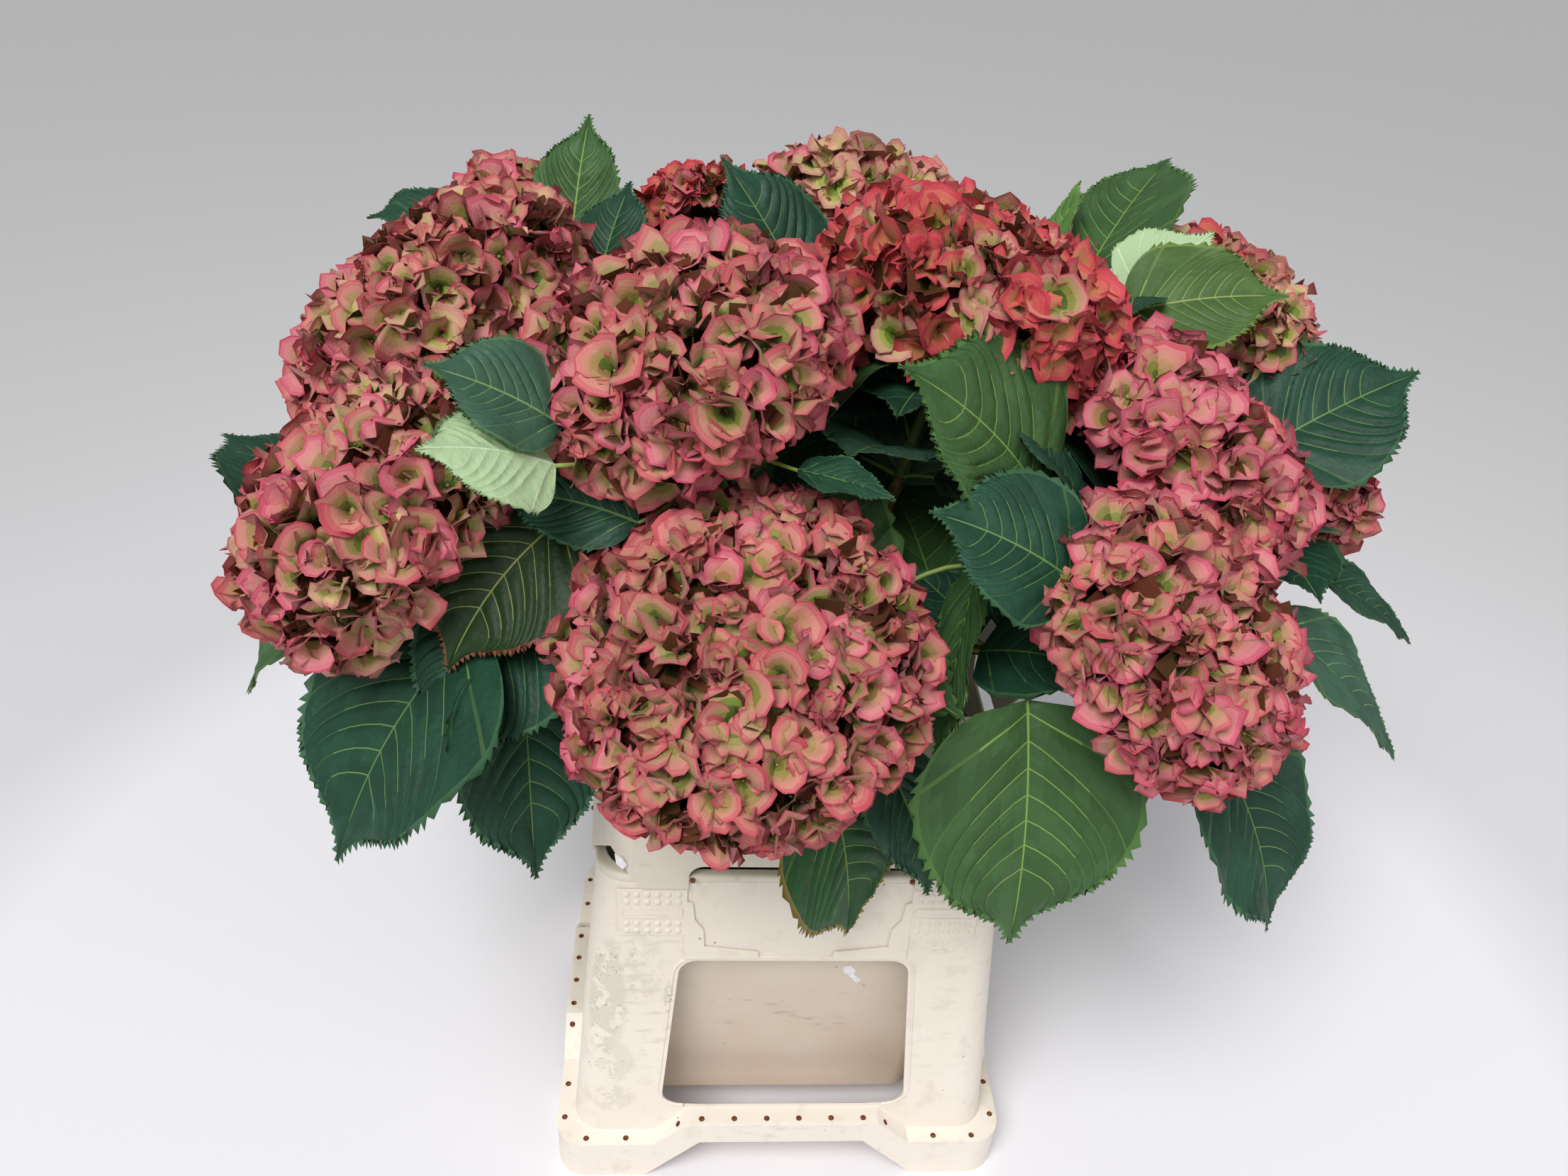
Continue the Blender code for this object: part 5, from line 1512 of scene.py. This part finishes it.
def worn_plastic(name, upper, lower, patches=(), streaks=(), roughness=0.48):
    """Moulded polypropylene after many rounds: satin cream, with faint grime, specks and label glue."""
    made, tree, shader = new_material(name)
    place = add_node(tree, "TexCoord").outputs["Object"]
    height = add_node(tree, "SeparateXYZ", {0: place}).outputs["Z"]
    # cloudy tone that blends by height from the lower colour at the foot to the upper colour at the rim
    rise = add_node(tree, "MapRange", {"Value": height, "From Min": 20 * MM, "From Max": 290 * MM})
    cloud = add_node(tree, "TexNoise", {"Vector": place, "Scale": 1 / (55 * MM), "Detail": 3})
    sway = add_node(tree, "Math", {0: cloud.outputs["Fac"], 1: 0.9, 2: -0.45}, operation="MULTIPLY_ADD")
    share = add_node(tree, "Math", {0: rise.outputs["Result"], 1: sway.outputs[0]}, operation="ADD", use_clamp=True)
    tone = add_node(tree, "Mix", {0: share.outputs[0], 6: linear(lower), 7: linear(upper)}, data_type="RGBA")
    colour = tone.outputs[2]
    # thin grime in patches of a few centimetres
    grime = add_node(tree, "TexNoise", {"Vector": place, "Scale": 1 / (17 * MM), "Detail": 6, "Roughness": 0.62})
    grimy = add_node(tree, "MapRange", {"Value": grime.outputs["Fac"], "From Min": 0.54, "From Max": 0.74,
                                        "To Max": 0.42})
    colour = add_node(tree, "Mix", {0: grimy.outputs["Result"], 6: colour, 7: linear("#C9BCA6")},
                      data_type="RGBA").outputs[2]
    # single brown specks about a millimetre wide
    cells = add_node(tree, "TexVoronoi", {"Vector": place, "Scale": 1 / (11 * MM)})
    dot = add_node(tree, "MapRange", {"Value": cells.outputs["Distance"], "From Min": 0.075, "From Max": 0.045})
    lot = add_node(tree, "SeparateColor", {0: cells.outputs["Color"]})
    chosen = add_node(tree, "Math", {0: lot.outputs[0], 1: 0.86}, operation="GREATER_THAN")
    specks = add_node(tree, "Math", {0: dot.outputs["Result"], 1: chosen.outputs[0]}, operation="MULTIPLY")
    colour = add_node(tree, "Mix", {0: specks.outputs[0], 6: colour, 7: linear("#7A5C3E")},
                      data_type="RGBA").outputs[2]
    # grey film of an old label, torn into islands with dark dirt along their edges
    film = add_node(tree, "TexNoise", {"Vector": place, "Scale": 1 / (13 * MM), "Detail": 7, "Roughness": 0.68,
                                       "Distortion": 0.5})
    fine = add_node(tree, "TexNoise", {"Vector": place, "Scale": 1 / (3 * MM), "Detail": 3})
    for centre, half, strength in patches:
        inside = patch(tree, place, centre, half)
        island = add_node(tree, "MapRange", {"Value": film.outputs["Fac"], "From Min": 0.485, "From Max": 0.50,
                                             "To Max": 0.55 * strength})
        covered = add_node(tree, "Math", {0: island.outputs["Result"], 1: inside}, operation="MULTIPLY")
        colour = add_node(tree, "Mix", {0: covered.outputs[0], 6: colour, 7: linear("#C6C2AE")},
                          data_type="RGBA").outputs[2]
        away = add_node(tree, "Math", {0: film.outputs["Fac"], 1: 0.49}, operation="SUBTRACT")
        near = add_node(tree, "Math", {0: away.outputs[0]}, operation="ABSOLUTE")
        edge = add_node(tree, "MapRange", {"Value": near.outputs[0], "From Min": 0.012, "From Max": 0.004})
        broken = add_node(tree, "MapRange", {"Value": fine.outputs["Fac"], "From Min": 0.50, "From Max": 0.58,
                                             "To Max": strength})
        dirt = add_node(tree, "Math", {0: edge.outputs["Result"], 1: broken.outputs["Result"]}, operation="MULTIPLY")
        dirty = add_node(tree, "Math", {0: dirt.outputs[0], 1: inside}, operation="MULTIPLY")
        colour = add_node(tree, "Mix", {0: dirty.outputs[0], 6: colour, 7: linear("#5B5040")},
                          data_type="RGBA").outputs[2]
    # scuffs that run along the wall
    along = add_node(tree, "Mapping", {"Vector": place, "Scale": (1, 1, 3.5)})
    scuff = add_node(tree, "TexNoise", {"Vector": along.outputs[0], "Scale": 1 / (20 * MM), "Detail": 6})
    for centre, half, tint in streaks:
        worn = add_node(tree, "MapRange", {"Value": scuff.outputs["Fac"], "From Min": 0.55, "From Max": 0.66,
                                           "To Max": 0.65})
        inside = patch(tree, place, centre, half)
        scuffed = add_node(tree, "Math", {0: worn.outputs["Result"], 1: inside}, operation="MULTIPLY")
        colour = add_node(tree, "Mix", {0: scuffed.outputs[0], 6: colour, 7: linear(tint)},
                          data_type="RGBA").outputs[2]
    tree.links.new(colour, shader.inputs["Base Color"])
    # the mould's spark-eroded grain, drawn coarser than it is so that it shows
    grain = add_node(tree, "TexNoise", {"Vector": place, "Scale": 1 / (1.6 * MM), "Detail": 2})
    relief = add_node(tree, "Math", {0: cloud.outputs["Fac"], 1: 6.0, 2: grain.outputs["Fac"]},
                      operation="MULTIPLY_ADD")
    bump = add_node(tree, "Bump", {"Height": relief.outputs[0], "Strength": 0.35, "Distance": 0.12 * MM})
    tree.links.new(bump.outputs["Normal"], shader.inputs["Normal"])
    shader.inputs["Roughness"].default_value = roughness
    # the milky plastic's subsurface light is left off
    shader.inputs["Subsurface Weight"].default_value = 0.0
    shader.inputs["Specular IOR Level"].default_value = 0.42
    return made


def speckled(name, colour, dark, grain, roughness):
    """A small part's finish: one tone broken up by darker grains."""
    made, tree, shader = new_material(name)
    place = add_node(tree, "TexCoord").outputs["Object"]
    grains = add_node(tree, "TexNoise", {"Vector": place, "Scale": 1 / grain, "Detail": 4})
    share = add_node(tree, "MapRange", {"Value": grains.outputs["Fac"], "From Min": 0.4, "From Max": 0.62})
    tone = add_node(tree, "Mix", {0: share.outputs["Result"], 6: linear(dark), 7: linear(colour)}, data_type="RGBA")
    tree.links.new(tone.outputs[2], shader.inputs["Base Color"])
    shader.inputs["Roughness"].default_value = roughness
    return made


def collar_front(z):
    """Where the collar's front wall lies at a height."""
    return -COLLAR_HALF[1] + (z - COLLAR_FOOT) * COLLAR_LEAN / (COLLAR_TOP - COLLAR_FOOT)


def bucket_front(z):
    """Where the bucket's front wall lies at a height."""
    return -(84 * MM + (z - 29 * MM) * (20.5 / 265))


# torn bits of label: outline across and up in mm, and the wall that each sticks to
PAPER_SCRAPS = (
    (((-112, 360), (-107, 364), (-103, 358), (-105, 351), (-110, 350)), collar_front),
    (((-123, 322), (-119, 319), (-115, 312), (-118, 308), (-122, 313)), collar_front),
    (((37, 193), (43, 195), (47, 189), (46, 184), (52, 177), (49, 173), (42, 183), (38, 187)), bucket_front),
)


def crate():
    """The stackable crate, its collar and the marks of its working life."""
    plastic = worn_plastic("cream_moulded_crate_plastic", "#E6DCCD", "#F0E6D9", LABEL_GLUE, CRATE_SCUFFS)
    inner = worn_plastic("cream_bucket_plastic", "#DCD3C2", "#CDB9A4", (), BUCKET_SCUFFS)
    sheet = worn_plastic("folded_collar_sheet", "#D9D0C0", "#DDD5C8", (), COLLAR_SCUFFS, 0.42)
    rust = speckled("rust_brown_hole", "#9A5F34", "#5A3218", 1.2 * MM, 0.75)
    outer = outer_frame()
    outer.data.materials.append(plastic)
    pins = ledge_holes(hole_places(), HOLE_SIZE)
    pins.data.materials.append(rust)
    carve(outer, pins)
    finish_piece(outer, "crate_plastic", "crate_outer_frame")
    shell = bucket()
    shell.data.materials.append(inner)
    finish_piece(shell, "crate_plastic", "crate_inner_bucket")
    folded = collar()
    folded.data.materials.append(sheet)
    finish_piece(folded, "collar_plastic", *[node for node in frame["nodes"] if node.startswith("crate_collar_")])
    for made in (wall_details(), window_beads()):
        made.data.materials.append(plastic)
        finish_piece(made, "crate_plastic")
    finish_piece(rust_nubs(rust), "crate_plastic")
    finish_piece(paper_scraps(speckled("torn_white_label_paper", "#F1EFF2", "#E2DEE2", 3 * MM, 0.85)), "crate_plastic")


# Stage

def camera():
    """The photograph's view: held high in front of the crate, looking down on the blooms."""
    ahead = Vector((math.sin(CAMERA_YAW) * math.cos(CAMERA_PITCH),
                    math.cos(CAMERA_YAW) * math.cos(CAMERA_PITCH), -math.sin(CAMERA_PITCH)))
    level = Vector((math.cos(CAMERA_YAW), -math.sin(CAMERA_YAW), 0.0))
    upright = level.cross(ahead)
    right = level * math.cos(CAMERA_ROLL) + upright * math.sin(CAMERA_ROLL)
    up = upright * math.cos(CAMERA_ROLL) - level * math.sin(CAMERA_ROLL)
    data = bpy.data.cameras.new("photo_camera")
    data.lens = CAMERA_LENS
    data.sensor_width = 36
    data.clip_start = 0.01
    made = bpy.data.objects.new("photo_camera", data)
    bpy.context.scene.collection.objects.link(made)
    made.location = CAMERA_PLACE
    made.rotation_euler = Matrix((right, up, -ahead)).transposed().to_euler()
    bpy.context.scene.camera = made


def area_light(name, place, target, size, power):
    data = bpy.data.lights.new(name, "AREA")
    data.shape = "DISK"
    data.size = size
    data.energy = power
    made = bpy.data.objects.new(name, data)
    bpy.context.scene.collection.objects.link(made)
    made.location = place
    made.rotation_euler = (Vector(target) - Vector(place)).to_track_quat("-Z", "Y").to_euler()


def stage():
    """A pale floor with painted light that falls off to grey with distance, and wide soft light from above the front.
    """
    bpy.ops.object.select_all(action="DESELECT")
    bpy.ops.mesh.primitive_circle_add(vertices=96, radius=FLOOR_RADIUS, fill_type="NGON")
    floor = bpy.context.object
    floor.name = "studio_floor"
    made, tree, shader = new_material("pale_studio_floor")
    # painted light: near white round the crate, falling off to grey with distance
    place = add_node(tree, "TexCoord")
    reach = add_node(tree, "VectorMath", {0: place.outputs["Object"]}, operation="LENGTH")
    near = add_node(tree, "Math", {0: 1.0, 1: reach.outputs["Value"]}, operation="DIVIDE")
    share = add_node(tree, "MapRange", {"Value": near.outputs[0], "From Min": 1 / FLOOR_FAR, "From Max": 1 / FLOOR_NEAR})
    tone = add_node(tree, "ValToRGB", {"Fac": share.outputs["Result"]})
    tones = tone.color_ramp.elements
    tones[0].color = linear(FLOOR_PAINTED_FALLOFF[0])
    tones[1].color = linear(FLOOR_PAINTED_FALLOFF[-1])
    for step, colour in enumerate(FLOOR_PAINTED_FALLOFF[1:-1], 1):
        tones.new(step / (len(FLOOR_PAINTED_FALLOFF) - 1)).color = linear(colour)
    tree.links.new(tone.outputs["Color"], shader.inputs["Base Color"])
    shader.inputs["Roughness"].default_value = 0.9
    shader.inputs["Specular IOR Level"].default_value = 0.1
    floor.data.materials.append(made)
    world = bpy.data.worlds.new("soft_studio")
    world.use_nodes = True
    world.node_tree.nodes["Background"].inputs["Color"].default_value = linear("#FAFBFF")
    world.node_tree.nodes["Background"].inputs["Strength"].default_value = 0.36
    bpy.context.scene.world = world
    bpy.context.scene.view_settings.view_transform = "Standard"
    data = bpy.data.lights.new("wide_window_light", "SUN")
    data.energy = 1.9
    data.angle = math.radians(30)
    sun = bpy.data.objects.new("wide_window_light", data)
    bpy.context.scene.collection.objects.link(sun)
    sun.rotation_euler = Vector((0.35, 0.55, -1.0)).to_track_quat("-Z", "Y").to_euler()
    area_light("key_light", (-0.9, -1.6, 2.4), (0, 0, 0.45), 1.5, 18)
    area_light("fill_light", (1.5, -1.4, 1.6), (0, 0, 0.35), 1.6, 9)


crate()
plants()
stage()
camera()
